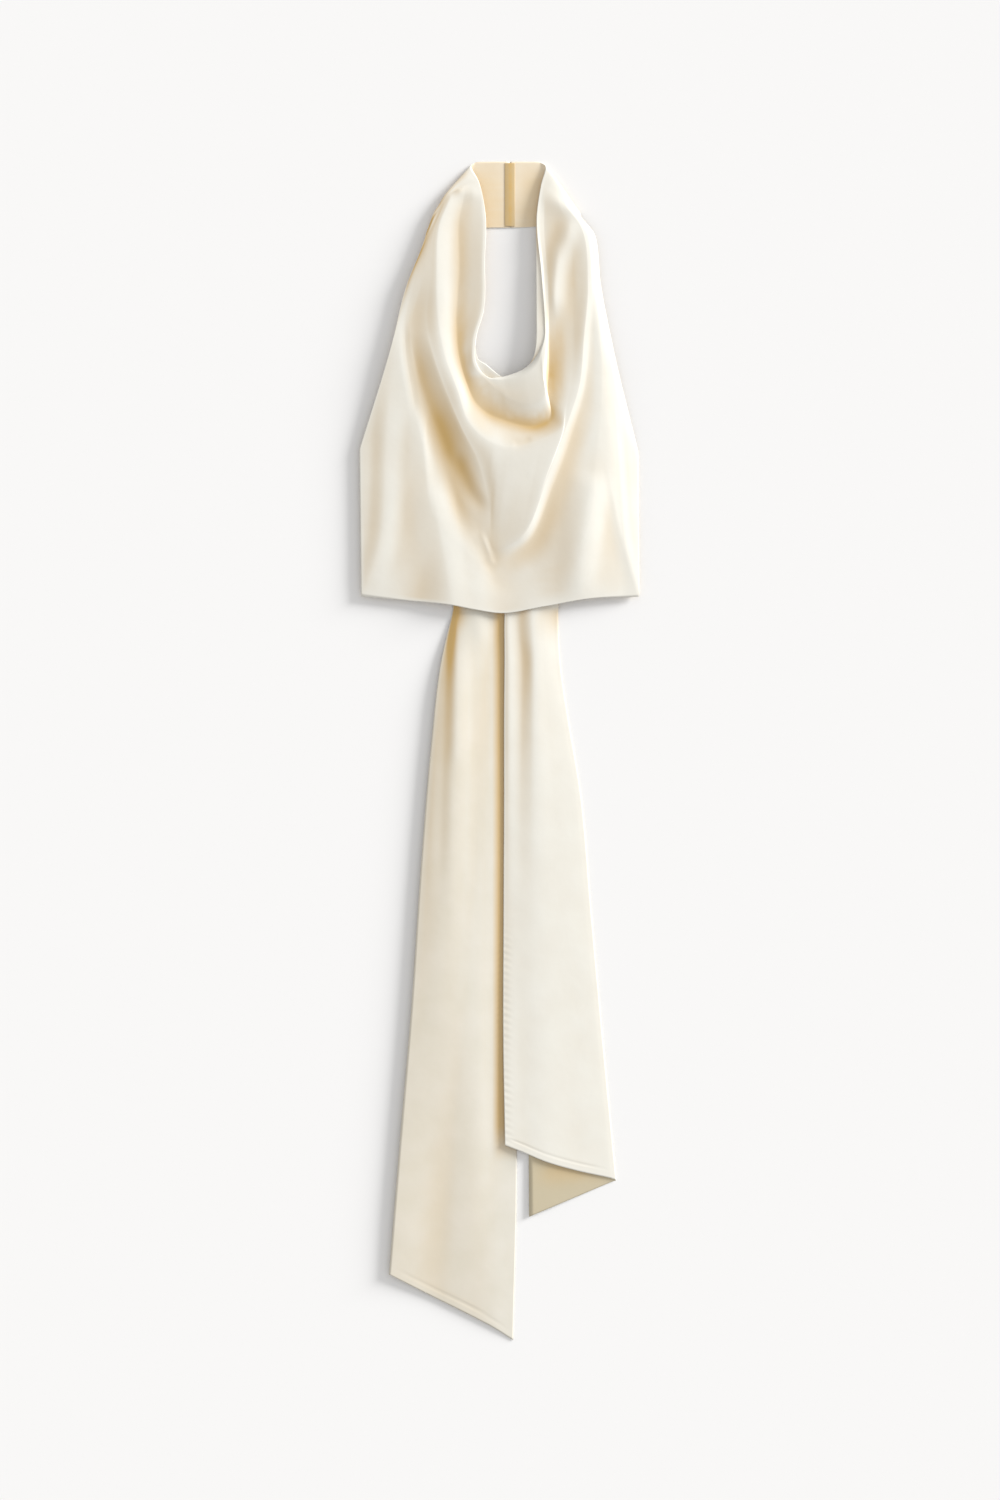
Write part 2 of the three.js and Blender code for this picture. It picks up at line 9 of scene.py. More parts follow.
import bpy
import numpy as np
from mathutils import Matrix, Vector


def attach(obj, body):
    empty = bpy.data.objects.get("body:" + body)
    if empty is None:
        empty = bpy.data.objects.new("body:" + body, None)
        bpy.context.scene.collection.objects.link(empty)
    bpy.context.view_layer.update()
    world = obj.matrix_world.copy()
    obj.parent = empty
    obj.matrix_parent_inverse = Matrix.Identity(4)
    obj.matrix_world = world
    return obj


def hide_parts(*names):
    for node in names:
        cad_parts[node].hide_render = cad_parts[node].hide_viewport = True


bl_info = {
    "name": "Halter neck top",
    "version": (1, 0, 0),
    "blender": (4, 5, 0),
    "location": "View3D > Sidebar > Halter top",
    "description": "Builds a satin halter neck top, laid out flat, and its stage",
    "category": "Object",
}

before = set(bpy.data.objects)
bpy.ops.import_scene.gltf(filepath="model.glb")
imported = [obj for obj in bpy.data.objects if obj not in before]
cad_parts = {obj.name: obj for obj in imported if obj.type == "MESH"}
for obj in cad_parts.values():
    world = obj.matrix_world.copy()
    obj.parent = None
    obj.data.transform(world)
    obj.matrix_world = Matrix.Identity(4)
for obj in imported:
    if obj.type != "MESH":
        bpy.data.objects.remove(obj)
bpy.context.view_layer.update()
MM = 0.001

# Driving sizes, in millimetres
TOP_Y = 648.0  # the neck's top edge, with the origin half way down the laid-out top
WALL = 1.2  # thickness that the solids give to the cloth
SEAM_GAP = 0.35
FLOOR = WALL / 2
ON_ONE_LAYER = FLOOR + WALL + SEAM_GAP
ON_FOLDED_HEM = 4.5
SEAM_X = 11.3
SEAM_HALF_GAP = 0.2
BAND_HEIGHT = 72.5
ALLOWANCE_WIDTH = 11.0
ALLOWANCE_INSET = 1.5
ALLOWANCE_HEIGHT = 1.15
ALLOWANCE_THICKNESS = 0.4
ALLOWANCE_CELLS = (24, 120)  # across and down
ALLOWANCE_SHADE = 0.9  # how far its darkest part is darkened with painted shade
ALLOWANCE_RIDGE = 0.35  # how far its middle stands above its edges
OVERLOCK_SPACING = 2.6  # from one slanting overlock stitch to the next
OVERLOCK_SLANT = 5.0
OVERLOCK_RISE = 0.08
FACING_DROP = 1.0
FACING_CELLS = 8  # cells from the neckline to the facing's free edge
FLOOR_DROP = 0.2  # how far the floor lies below the surface, clear of the cloth that rests on it

# Fold lines of the front, from the neck edge to the outer edge, with the mesh cells from each to
# the next, and how hard a crease each line is, from 0, a soft bend, to 1, a sharp edge
FRONT_LINES = ["neck", "lip", "pocket", "roll", "bib", "tuck", "crest", "side", "edge"]
FRONT_CELLS = [5, 20, 20, 24, 12, 24, 28, 22]
FRONT_CREASES = {"lip": 0.6, "pocket": 0.75, "roll": 0.3, "bib": 0.7, "tuck": 0.2, "crest": 0.2}

# One row for each section across the cloth, from the seam behind the neck, over the left
# shoulder, round the cowl and back over the right shoulder. cells are those to the next section.
FRONT_SECTIONS = [
    {"name": "nape left", "cells": 6,
     "neck": [SEAM_X - SEAM_HALF_GAP, 0, FLOOR], "edge": [SEAM_X - SEAM_HALF_GAP, BAND_HEIGHT, FLOOR]},
    {"name": "back left", "cells": 6, "neck": [-12, 0, FLOOR], "edge": [-21, 73, FLOOR]},
    {"name": "under left fold", "cells": 8, "neck": [-27, 1, FLOOR], "edge": [-70, 84, FLOOR]},
    {"name": "left fold", "cells": 8,
     "neck": [-31, 4, 3], "pocket": [-50, 26, 6.4], "roll": [-60, 38, 7.4], "tuck": [-73, 59, 7.8],
     "edge": [-80.6, 80.5, 7.8]},
    {"name": "left shoulder roll", "cells": 8,
     "neck": [-23, 22, 5.9], "lip": [-26, 23.8, 6.2], "pocket": [-40, 29, 6.8], "roll": [-54, 38, 8.2],
     "bib": [-61, 46, 8.3], "tuck": [-67, 54, 8.3], "crest": [-72, 62, 8.5], "side": [-77, 73, 8.6],
     "edge": [-81.5, 84, 8.7]},
    {"name": "left shoulder", "cells": 12,
     "neck": [-15.4, 58, 8.9], "lip": [-18.6, 59, 9.1], "pocket": [-44.5, 67, 7.8],
     "roll": [-66, 71, 10.1], "bib": [-72, 76, 9.9], "tuck": [-76.5, 81.5, 9.7],
     "crest": [-80.4, 87.5, 9.5], "side": [-83.8, 93.5, 9.3], "edge": [-87, 100, 9.2]},
    {"name": "left strap", "cells": 12,
     "neck": [-16, 110, 12], "lip": [-19, 110.8, 12.1], "pocket": [-44, 117, 9.8],
     "roll": [-69, 121, 12.6], "bib": [-76.5, 124, 12], "tuck": [-84, 127.6, 11.4],
     "crest": [-92, 131, 10.8], "side": [-97, 133, 10.4], "edge": [-102, 137, 9.8]},
    {"name": "left chest", "cells": 12,
     "neck": [-17, 163, 12.5], "lip": [-20, 163.8, 12.7], "pocket": [-47, 179, 10.3],
     "roll": [-66, 185, 13.1], "bib": [-80, 188, 11.4], "tuck": [-97, 189, 8.7], "crest": [-105, 191, 8.1],
     "side": [-112, 194, 7.6], "edge": [-118, 201, 7]},
    {"name": "left underarm", "cells": 16, "corner": True,
     "neck": [-26, 198, 12.5], "lip": [-29.2, 199.6, 12.7], "pocket": [-45, 210, 10.9],
     "roll": [-60, 214.5, 13.6], "bib": [-72, 218, 12.5], "tuck": [-90, 228, 8.1],
     "crest": [-99, 253, 7.8], "side": [-122.6, 284, 5.4], "edge": [-154, 317, ON_ONE_LAYER]},
    {"name": "left hem corner", "cells": 22, "corner": True,
     "neck": [-24.8, 224, 12.5], "lip": [-26.8, 227, 12.7], "pocket": [-36, 244, 10.8],
     "roll": [-45.6, 254, 14.2], "bib": [-57, 259, 13.3], "tuck": [-77, 270, 8.7],
     "crest": [-86, 306, 9.2], "side": [-126, 405, 5.1], "edge": [-152, 478, ON_ONE_LAYER]},
    {"name": "hem at the left", "cells": 20,
     "neck": [-17, 235, 12], "lip": [-16.5, 238.5, 12.2], "pocket": [-25, 267, 10.6],
     "roll": [-34.6, 286, 14.4], "bib": [-41, 296, 13.8], "tuck": [-60, 310, 8.6],
     "crest": [-69, 394, 10], "side": [-88.5, 454, 8], "edge": [-100.6, 483, 5.9]},
    {"name": "hem left of centre", "cells": 14,
     "neck": [-10.5, 238.7, 12.2], "lip": [-7, 247.5, 12.4], "pocket": [-10, 279, 10.4],
     "roll": [-17, 305, 15], "bib": [-25, 328, 13.8], "tuck": [-46, 352, 8.9], "crest": [-44, 421, 10.3],
     "side": [-49, 465, 10.3], "edge": [-52, 488, 9.8]},
    {"name": "hem beside the centre", "cells": 14,
     "neck": [-4, 238.5, 12.6], "lip": [0, 253, 12.7], "pocket": [0, 283, 10.7],
     "roll": [-4, 312, 15.4], "bib": [-12, 376, 11.8], "tuck": [-26, 396, 9.8], "crest": [-24, 443, 9.6],
     "side": [-26, 473, 9.4], "edge": [-26, 493, 8.9]},
    {"name": "centre", "cells": 22,
     "neck": [4, 237.6, 13], "lip": [7, 258.5, 13.2], "pocket": [11, 287, 11.1],
     "roll": [9.4, 315.7, 15.6], "bib": [-3.4, 425, 9.8], "tuck": [-4.4, 439, 8.4],
     "crest": [-2.8, 461, 7.8], "side": [-0.6, 480, 7.8], "edge": [0.5, 496.6, 7.4]},
    {"name": "hem right of centre", "cells": 20,
     "neck": [27, 229, 15.4], "lip": [33.5, 266, 15.2], "pocket": [40, 291, 12.4],
     "roll": [44.5, 308, 16], "bib": [22.6, 413.6, 12.6], "tuck": [25.5, 424, 9.8],
     "crest": [33.5, 454, 8.7], "side": [41, 474, 8.6], "edge": [48, 489.5, 8.4]},
    {"name": "hem at the right", "cells": 22,
     "neck": [39.5, 216.7, 15.8], "lip": [49, 258.5, 16.4], "pocket": [54, 284, 13.2],
     "roll": [67.5, 293.6, 16], "bib": [53.4, 345.4, 15.6], "tuck": [59, 356, 13.2],
     "crest": [84, 424, 12.4], "side": [92, 460, 10.6], "edge": [99.5, 480.7, 8.4]},
    {"name": "right hem corner", "cells": 16, "corner": True,
     "neck": [45.5, 205.7, 15.6], "lip": [48, 237.6, 16.4], "pocket": [52.5, 250, 13.1],
     "roll": [72, 273, 15], "bib": [75, 287, 15.2], "tuck": [81, 295, 13.2], "crest": [107, 317, 12.6],
     "side": [134.8, 416, 7.8], "edge": [153.5, 478.5, ON_FOLDED_HEM]},
    {"name": "right underarm", "cells": 12, "corner": True,
     "neck": [49.5, 193.6, 14.6], "lip": [51.5, 197.5, 14.4], "pocket": [54, 232, 12.2],
     "roll": [76.5, 243, 14.2], "bib": [87, 249, 14.6], "tuck": [93, 253, 13], "crest": [112, 263, 12.2],
     "side": [131.5, 289, 8.2], "edge": [152.4, 319, ON_ONE_LAYER]},
    {"name": "right chest", "cells": 12,
     "neck": [49.5, 176, 12.8], "lip": [51.5, 177.6, 12.4], "pocket": [54, 185, 11.2],
     "roll": [80, 192, 12.7], "bib": [92.5, 194, 14.2], "tuck": [99, 196, 12.8], "crest": [111, 200, 12],
     "side": [118, 203.5, 9.8], "edge": [125, 207, 6.5]},
    {"name": "right strap", "cells": 12,
     "neck": [45.6, 123, 11.1], "lip": [48.6, 124.2, 9.8], "pocket": [53, 129, 9.5],
     "roll": [80, 133, 10.3], "bib": [97, 135, 12], "tuck": [101.4, 136.4, 11.4],
     "crest": [104.5, 137.5, 10.3], "side": [108, 138.6, 8.9], "edge": [111.6, 139.7, 7]},
    {"name": "right shoulder", "cells": 8,
     "neck": [41, 58, 8.4], "lip": [43.8, 59.8, 8.1], "pocket": [49, 65, 7.8], "roll": [75, 69, 9.2],
     "bib": [89, 71.6, 9.8], "tuck": [93, 73, 9.2], "crest": [96.5, 74.5, 8.4], "side": [99.8, 76, 7.6],
     "edge": [102.8, 78, 6.2]},
    {"name": "right shoulder roll", "cells": 8,
     "neck": [45.6, 26.4, 5.9], "lip": [48, 28.8, 6.1], "pocket": [52, 33, 6.7], "roll": [65, 42, 8.1],
     "bib": [72, 46, 8.1], "tuck": [76.5, 49.4, 7.8], "crest": [80.5, 53, 7], "side": [84.5, 56.6, 6.2],
     "edge": [89.5, 61, 4.8]},
    {"name": "right fold", "cells": 8,
     "neck": [50, 4, 2.9], "pocket": [60, 17, 3.7], "roll": [70, 30.5, 4.3], "crest": [80, 45, 3.7],
     "edge": [88.5, 57, 2.9]},
    {"name": "under right fold", "cells": 6, "neck": [45, 1, FLOOR], "edge": [76, 64, FLOOR]},
    {"name": "back right", "cells": 6, "neck": [30, 0, FLOOR], "edge": [38, 71.5, FLOOR]},
    {"name": "nape right",
     "neck": [SEAM_X + SEAM_HALF_GAP, 0, FLOOR], "edge": [SEAM_X + SEAM_HALF_GAP, BAND_HEIGHT, FLOOR]},
]

# Single folds laid over that form: the run of each, [across, down], its rise, below zero for a
# trough, its half width to the left and to the right of the run, and how hard its crease is
FRONT_FOLDS = [
    {"name": "left fold down to the hem", "run": [[-75, 345], [-68, 394], [-60, 440], [-50, 505]],
     "rise": 1, "left": 40, "right": 24, "crease": 0.3},
    {"name": "right fold down to the hem", "run": [[104, 340], [97, 372], [91, 416], [84, 505]],
     "rise": 1.2, "left": 30, "right": 26, "crease": 0.2},
    {"name": "pinch beside the bib", "run": [[-52, 318], [-40, 345], [-30, 366], [-14, 386]],
     "rise": -0.8, "left": 14, "right": 12, "crease": 0.3},
    {"name": "step left of the tip", "run": [[-22, 408], [-16, 420], [-11, 434], [-7, 446]],
     "rise": 0.6, "left": 12, "right": 6, "crease": 0.3},
    {"name": "small crease in the roll", "run": [[14, 312], [25, 310], [35, 305]],
     "rise": -0.25, "left": 7, "right": 7, "crease": 0.2},
    {"name": "second valley at the left", "run": [[-104, 174], [-103, 207], [-96, 251], [-90, 284]],
     "rise": -0.4, "left": 8, "right": 7, "crease": 0.3},
    {"name": "soft ridge at the left side",
     "run": [[-118, 240], [-125, 306], [-127, 372], [-131, 420], [-150, 471]],
     "rise": 0.9, "left": 18, "right": 24, "crease": 0.1},
    {"name": "fine crease at the right side",
     "run": [[124, 240], [130, 317], [134, 372], [138, 416], [151, 468]],
     "rise": 0.7, "left": 18, "right": 9, "crease": 0.4},
    {"name": "pleat of the right strap",
     "run": [[80, 56], [75, 80], [65, 102], [61, 130], [60, 152], [63, 176]],
     "rise": 1.8, "left": 17, "right": 17, "crease": 0.5},
    {"name": "lifted left side edge",
     "run": [[-104, 150], [-118, 201], [-137, 262], [-154, 317], [-153, 400], [-152, 478], [-151, 560]],
     "rise": 4, "left": 20, "right": 80, "crease": 0.3},
    {"name": "lifted right side edge",
     "run": [[112, 160], [125, 207], [139, 262], [152.4, 319], [153, 400], [153.5, 478], [154, 540]],
     "rise": 0.9, "left": 20, "right": 20, "crease": 0.3},
    {"name": "facet of the left shoulder", "run": [[-56, 24], [-48, 30], [-36, 36], [-18, 37]],
     "rise": 1, "left": 10, "right": 16, "crease": 0.5},
]

# The free edge of the facing, at the sections of the front that it hangs from
FACING_EDGE = [
    {"at": "left chest", "free": [-18.5, 163, 11.5]},
    {"at": "left underarm", "free": [-26.5, 198, 11.5]},
    {"at": "left hem corner", "free": [-22.5, 219, 11.4]},
    {"at": "hem at the left", "free": [-15, 223.5, 11.5]},
    {"at": "hem left of centre", "free": [-7.5, 230, 11.6]},
    {"at": "centre", "free": [4, 238, 12]},
    {"at": "hem right of centre", "free": [28, 230, 14.4]},
    {"at": "hem at the right", "free": [38, 214, 14.4]},
    {"at": "right hem corner", "free": [39.5, 205, 14.2]},
    {"at": "right underarm", "free": [40.2, 193, 13.2]},
    {"at": "right chest", "free": [40.2, 174, 11.6]},
    {"at": "right strap", "free": [40.2, 122, 9.8]},
    {"at": "right shoulder", "free": [40.4, 60, 7.4]},
]

# Left tie, from the side seam to its end
LEFT_TIE_LINES = ["outer", "rise", "middle", "dip", "inner"]
LEFT_TIE_CELLS = [18, 20, 20, 16]
LEFT_TIE_SECTIONS = [
    {"cells": 8, "outer": [-151, 474, FLOOR], "inner": [-151.5, 322, FLOOR]},
    {"cells": 8, "outer": [-128, 474.5, FLOOR], "inner": [-131.5, 332, FLOOR]},
    {"cells": 10, "outer": [-108, 475, FLOOR], "inner": [-112, 343, FLOOR]},
    {"cells": 8, "outer": [-77, 476, FLOOR], "rise": [-76, 462, 2.3], "middle": [-75, 440, FLOOR],
     "dip": [-75, 410, 2.3], "inner": [-74, 374, FLOOR]},
    {"cells": 8, "outer": [-62, 478, FLOOR], "rise": [-58, 465, 3.2], "middle": [-54, 444, 1],
     "dip": [-49, 420, 2.9], "inner": [-45, 392, FLOOR]},
    {"cells": 8, "outer": [-55, 481, FLOOR], "rise": [-48, 471, 4], "middle": [-39, 457, 2],
     "dip": [-30, 440, 2.9], "inner": [-20, 420, FLOOR]},
    {"cells": 8, "outer": [-51.5, 485, FLOOR], "rise": [-45, 481, 4.5], "middle": [-31, 474, 2.9],
     "dip": [-16, 464, 2.3], "inner": [1, 453, FLOOR]},
    {"cells": 24, "outer": [-51, 491, FLOOR], "rise": [-46, 491, 3], "middle": [-24, 491, 4.6],
     "dip": [-8, 491, 2], "inner": [10, 490, FLOOR]},
    {"cells": 30, "outer": [-64, 548, 1.8], "rise": [-48, 548, 5], "middle": [-24, 548, 4.3],
     "dip": [-8, 548, 2.4], "inner": [11, 548, FLOOR]},
    {"cells": 40, "outer": [-75, 640, 2.2], "rise": [-49, 640, 6.4], "middle": [-24, 640, 4.6],
     "dip": [-7, 640, 2.6], "inner": [12, 640, FLOOR]},
    {"cells": 48, "outer": [-86, 770, 2.4], "rise": [-50, 770, 6.6], "middle": [-24, 770, 4.6],
     "dip": [-6, 770, 2.6], "inner": [13, 770, FLOOR]},
    {"cells": 44, "outer": [-97, 930, 2.8], "rise": [-52, 930, 6], "middle": [-24, 932, 4.5],
     "dip": [-6, 933, 2.4], "inner": [15, 934, FLOOR]},
    {"cells": 90, "outer": [-109.5, 1076, 2.8], "rise": [-60, 1084, 4.6], "middle": [-24, 1092, 4.2],
     "dip": [-6, 1097, 2.4], "inner": [19, 1102, FLOOR]},
    {"outer": [-121.5, 1223, 2.8], "rise": [-75, 1247, 2.6], "middle": [-35, 1267, 2.4],
     "dip": [-5, 1283, 1.8], "inner": [15, 1296, FLOOR]},
]
LEFT_TIE_FOLDS = [
    {"name": "lifted outer edge",
     "run": [[-50, 480], [-64, 548], [-75, 640], [-86, 770], [-97, 930], [-109.5, 1076], [-121.5, 1223],
             [-140, 1480]],
     "rise": 4, "left": 20, "right": 60, "crease": 0.3},
    {"name": "edge of the dark strip", "run": [[-47, 486], [-46.5, 540], [-46.5, 610], [-48, 680]],
     "rise": 0.6, "left": 12, "right": 18, "crease": 0.3},
    {"name": "dark valley beside it", "run": [[-55, 488], [-59, 560], [-61, 640], [-63, 720], [-66, 830]],
     "rise": -0.5, "left": 13, "right": 12, "crease": 0.3},
    {"name": "stitches of the end hem", "run": [[-118.5, 1215], [-73, 1238], [-33, 1258], [14.5, 1286]],
     "rise": -0.45, "left": 1.6, "right": 1.6, "crease": 0.5},
]

# Right tie, folded in two along its right side, over the left tie
RIGHT_TIE_LINES = ["free", "ridge", "valley", "crest", "slope", "lip", "fold", "under", "hidden"]
RIGHT_TIE_CELLS = [6, 9, 14, 14, 14, 6, 5, 18]
RIGHT_TIE_SECTIONS = [
    {"cells": 14, "free": [152, 323, FLOOR], "slope": [152, 462, 1.6], "lip": [152, 470, 2.8],
     "fold": [152, 475, 2.1], "under": [152, 471, FLOOR], "hidden": [152, 466, FLOOR]},
    {"cells": 12, "free": [112, 343, FLOOR], "slope": [109, 462, 2.2], "lip": [108.5, 472, 3.2],
     "fold": [108, 477, 2.3], "under": [108.5, 472, FLOOR], "hidden": [109, 462, FLOOR]},
    {"cells": 10, "free": [82, 374, FLOOR], "ridge": [81, 393, 2.3], "valley": [80, 416, 1],
     "crest": [79, 438, 3.2], "slope": [78, 457, 3.2], "lip": [77.5, 470, 3.5], "fold": [77, 476, 2.4],
     "under": [77.5, 471, FLOOR], "hidden": [78, 458, FLOOR]},
    {"cells": 10, "free": [50, 392, FLOOR], "ridge": [54, 410, 2.6], "valley": [58, 429, 1.5],
     "crest": [61, 446, 3.7], "slope": [64, 461, 4], "lip": [68, 472, 3.9], "fold": [71, 478, 2.6],
     "under": [68, 473, FLOOR], "hidden": [64, 459, FLOOR]},
    {"cells": 10, "free": [26, 420, 2.6], "ridge": [33, 431, 3.7], "valley": [42, 444, 2.6],
     "crest": [51, 457, 4.8], "slope": [58, 468, 4.8], "lip": [64, 477, 4.3], "fold": [67.5, 481, 2.7],
     "under": [64, 477.5, FLOOR], "hidden": [54, 466, FLOOR]},
    {"cells": 10, "free": [10, 450, 3.7], "ridge": [16, 455, 4.5], "valley": [28, 464, 2.8],
     "crest": [42, 474, 5.6], "slope": [53, 481, 5.1], "lip": [61, 485, 4.4], "fold": [65, 487, 2.7],
     "under": [61, 485.5, FLOOR], "hidden": [47, 479, FLOOR]},
    {"cells": 24, "free": [6, 491, 4], "ridge": [9.5, 491.5, 4.4], "valley": [20, 492, 3.6],
     "crest": [37, 492.5, 5.4], "slope": [48, 493, 4.4], "lip": [60, 493.5, 2.6], "fold": [64.2, 494, 1.6],
     "under": [60, 493.5, FLOOR], "hidden": [44, 492, FLOOR]},
    {"cells": 24, "free": [5.5, 550, 3.9], "ridge": [9.5, 550, 4.3], "valley": [24, 550, 3.5],
     "crest": [38, 550, 5.2], "slope": [50, 550, 4.2], "lip": [62, 550, 2.4], "fold": [66.5, 550, 1.5],
     "under": [62, 550, FLOOR], "hidden": [42, 550, FLOOR]},
    {"cells": 30, "free": [5, 610, 3.8], "ridge": [9.5, 610, 4.3], "valley": [23, 610, 3.8],
     "crest": [38, 610, 5.1], "slope": [54, 610, 3.9], "lip": [70.5, 610, 2.2], "fold": [75, 610, 1.4],
     "under": [70.5, 610, FLOOR], "hidden": [40, 610, FLOOR]},
    {"cells": 48, "free": [5, 691, 3.7], "ridge": [9.5, 691, 4.1], "valley": [22, 691, 4.1],
     "crest": [38, 691, 4.9], "slope": [60, 691, 3.8], "lip": [84, 691, 2.1], "fold": [88.5, 691, 1.4],
     "under": [84, 691, FLOOR], "hidden": [38, 691, FLOOR]},
    {"cells": 80, "free": [4.4, 825, 3.7], "ridge": [9.5, 825, 4], "valley": [22, 825, 4.3],
     "crest": [40, 825, 4.6], "slope": [68, 825, 3.6], "lip": [96, 825, 2], "fold": [100.6, 825, 1.4],
     "under": [96, 825, FLOOR], "hidden": [35, 825, FLOOR]},
    {"cells": 100, "free": [4, 960, 4.2], "ridge": [9.5, 960, 4.4], "valley": [22, 961, 4.4],
     "crest": [42, 962, 4.6], "slope": [76, 964, 3.4], "lip": [109, 966, 1.9], "fold": [113.5, 967, 1.3],
     "under": [109, 967, FLOOR], "hidden": [32, 968, 1.6]},
    {"free": [6, 1081, 5], "ridge": [11, 1083, 5], "valley": [24, 1088, 4.8], "crest": [50, 1099, 4.6],
     "slope": [84, 1109, 3.2], "lip": [123.5, 1118, 1.8], "fold": [128, 1120, 1.3],
     "under": [124, 1121.5, FLOOR], "hidden": [32.5, 1160, 2.6]},
]
RIGHT_TIE_FOLDS = [
    {"name": "stitches of the end hem", "run": [[5, 1072], [23, 1079], [49, 1090], [83, 1100], [124, 1109]],
     "rise": -0.45, "left": 1.6, "right": 1.6, "crease": 0.5},
]
# Puckers along its stitched free edge, in millimetres
PUCKER_SPACING = 7.6
PUCKER_SLANT = 0.35
PUCKER_RISE = 0.22
PUCKER_WIDTH = 12.0
PUCKERS_FROM = 780.0
PUCKER_FADE = 90.0

# Single folds: cells between two points of a run, and the share of it over which the fold fades
FOLD_RUN_CELLS = 12
FOLD_FADE = 0.25
FOLD_END = 0.02

# Painted shade: the hollows of the folds and the cloth that turns from the light are painted a warm, darker
# gold, for their shade and the light bounced into them
HOLLOW_DEPTH = 3.0  # depth in millimetres at which the painted shade of a fold's hollows is full
HOLLOW_CELL = 3.0  # side in millimetres of the squares that the depth is measured on
HOLLOW_REACHES = (3, 6, 9)  # squares from a point to the cloth on both sides of it
HOLLOW_DIRECTIONS = ((1, 0), (0, 1), (0.7, 0.7), (0.7, -0.7))
TURNED_PAINTED_SHADE = 1.45  # share of painted shade added by cloth that turns away from the light
STEEP_PAINTED_SHADE = 8.3  # the same, for cloth that turns away steeply
LEAST_UPWARD = 0.3  # cloth that faces up less than this is a side wall and isn't counted
SMOOTHING_CELLS = 5
BRIGHT_EDGE_CELLS = 4  # rows of cells at a free edge, over which the painted shade fades out

# Left tie: painted shade on the strip beside the right tie, and on the part that turns away from the light
STRIP_SHADE = 0.8
STRIP_FROM = -8.0
STRIP_FADE = 7.0
STRIP_TOP = 480.0
STRIP_TOP_FADE = 10.0
STRIP_END = 1100.0
STRIP_END_FADE = 40.0
TURNED_SHADE = 0.1
TURNED_TO = -44.0  # its right limit near the hem
TURNED_SHIFT = 34.0  # how far that limit moves right towards the end
TURNED_SHIFT_FROM = 900.0
TURNED_SHIFT_LENGTH = 300.0
TURNED_FADE = 24.0

# Satin: how far apart its threads are drawn and how far one runs, in millimetres, and how many
# soft patches of light it has in a metre
THREAD_SPACING = 0.6
THREAD_RUN = 20.0
PATCHES_PER_METRE = 28.0
ROUGHNESS_SPREAD = 0.03

# Roughness and sheen of each finish
BRIGHT_SIDE = (0.46, 0.2)
DULL_SIDE = (0.55, 0.15)
OVERLOCKED = (0.6, 0.1)

# Stage
LIGHT_FROM = (2.6, 1.5, 0.8)
LIGHT_SPREAD = math.radians(22)
CAMERA_PLACE = (0.00055, 0.0011)  # across and up, in metres
SENSOR_HEIGHT = 36.0
VIEW_TRANSFORM = "Standard"


# Cloth as grids of points

def row_points(row, lines):
    """The points of a row in the order of its lines. A line that it leaves out is spaced evenly."""
    places = [index for index, line in enumerate(lines) if line in row]
    given = np.array([row[lines[index]] for index in places], float)
    return np.stack([np.interp(range(len(lines)), places, given[:, axis]) for axis in range(3)], axis=1)


def smooth_run(points, cells, creases):
    """A smooth run through points along the first axis, in so many cells from each to the next."""
    chords = points[1:] - points[:-1]
    lengths = np.maximum(np.linalg.norm(chords, axis=-1, keepdims=True), 0.01)
    slopes = chords / lengths
    before = np.concatenate([slopes[:1], slopes])
    after = np.concatenate([slopes, slopes[-1:]])
    length_before = np.concatenate([lengths[:1], lengths])
    length_after = np.concatenate([lengths, lengths[-1:]])
    share = length_before / (length_before + length_after)
    slope = before * (1 - share) + after * share
    reach = 2 * np.minimum(length_before, length_after)
    run = [points[:1]]
    for index, count in enumerate(cells):
        chord = chords[index]
        pulls = []
        for end in (index, index + 1):
            soft = slope[end] * np.minimum(lengths[index], reach[end])
            pulls.append(soft * (1 - creases[end]) + chord * creases[end])
        t = (np.arange(1, count + 1) / count).reshape((-1,) + (1,) * chord.ndim)
        step = t * t * (3 - 2 * t)
        start_pull = pulls[0] * t * (1 - t) ** 2
        end_pull = -pulls[1] * t * t * (1 - t)
        run.append(points[index] * (1 - step) + points[index + 1] * step + start_pull + end_pull)
    return np.concatenate(run)


def grid_from_sections(sections, lines, line_cells, line_creases):
    """A grid of points over a table of sections: along each line, and then across each section."""
    rows = np.array([row_points(section, lines) for section in sections])
    cells = [section["cells"] for section in sections[:-1]]
    creases = np.zeros((len(sections), len(lines), 1))
    for index, section in enumerate(sections):
        if section.get("corner"):
            creases[index, -2:] = 1.0
    along = smooth_run(rows, cells, creases)
    line_values = [line_creases.get(line, 0.0) for line in lines]
    return smooth_run(along.swapaxes(0, 1), line_cells, line_values).swapaxes(0, 1)


def grid_index_of(name):
    """Where a section of the front starts in its grid."""
    index = 0
    for section in FRONT_SECTIONS:
        if section["name"] == name:
            return index
        index += section.get("cells", 0)
    raise ValueError(f"no section is named {name}")


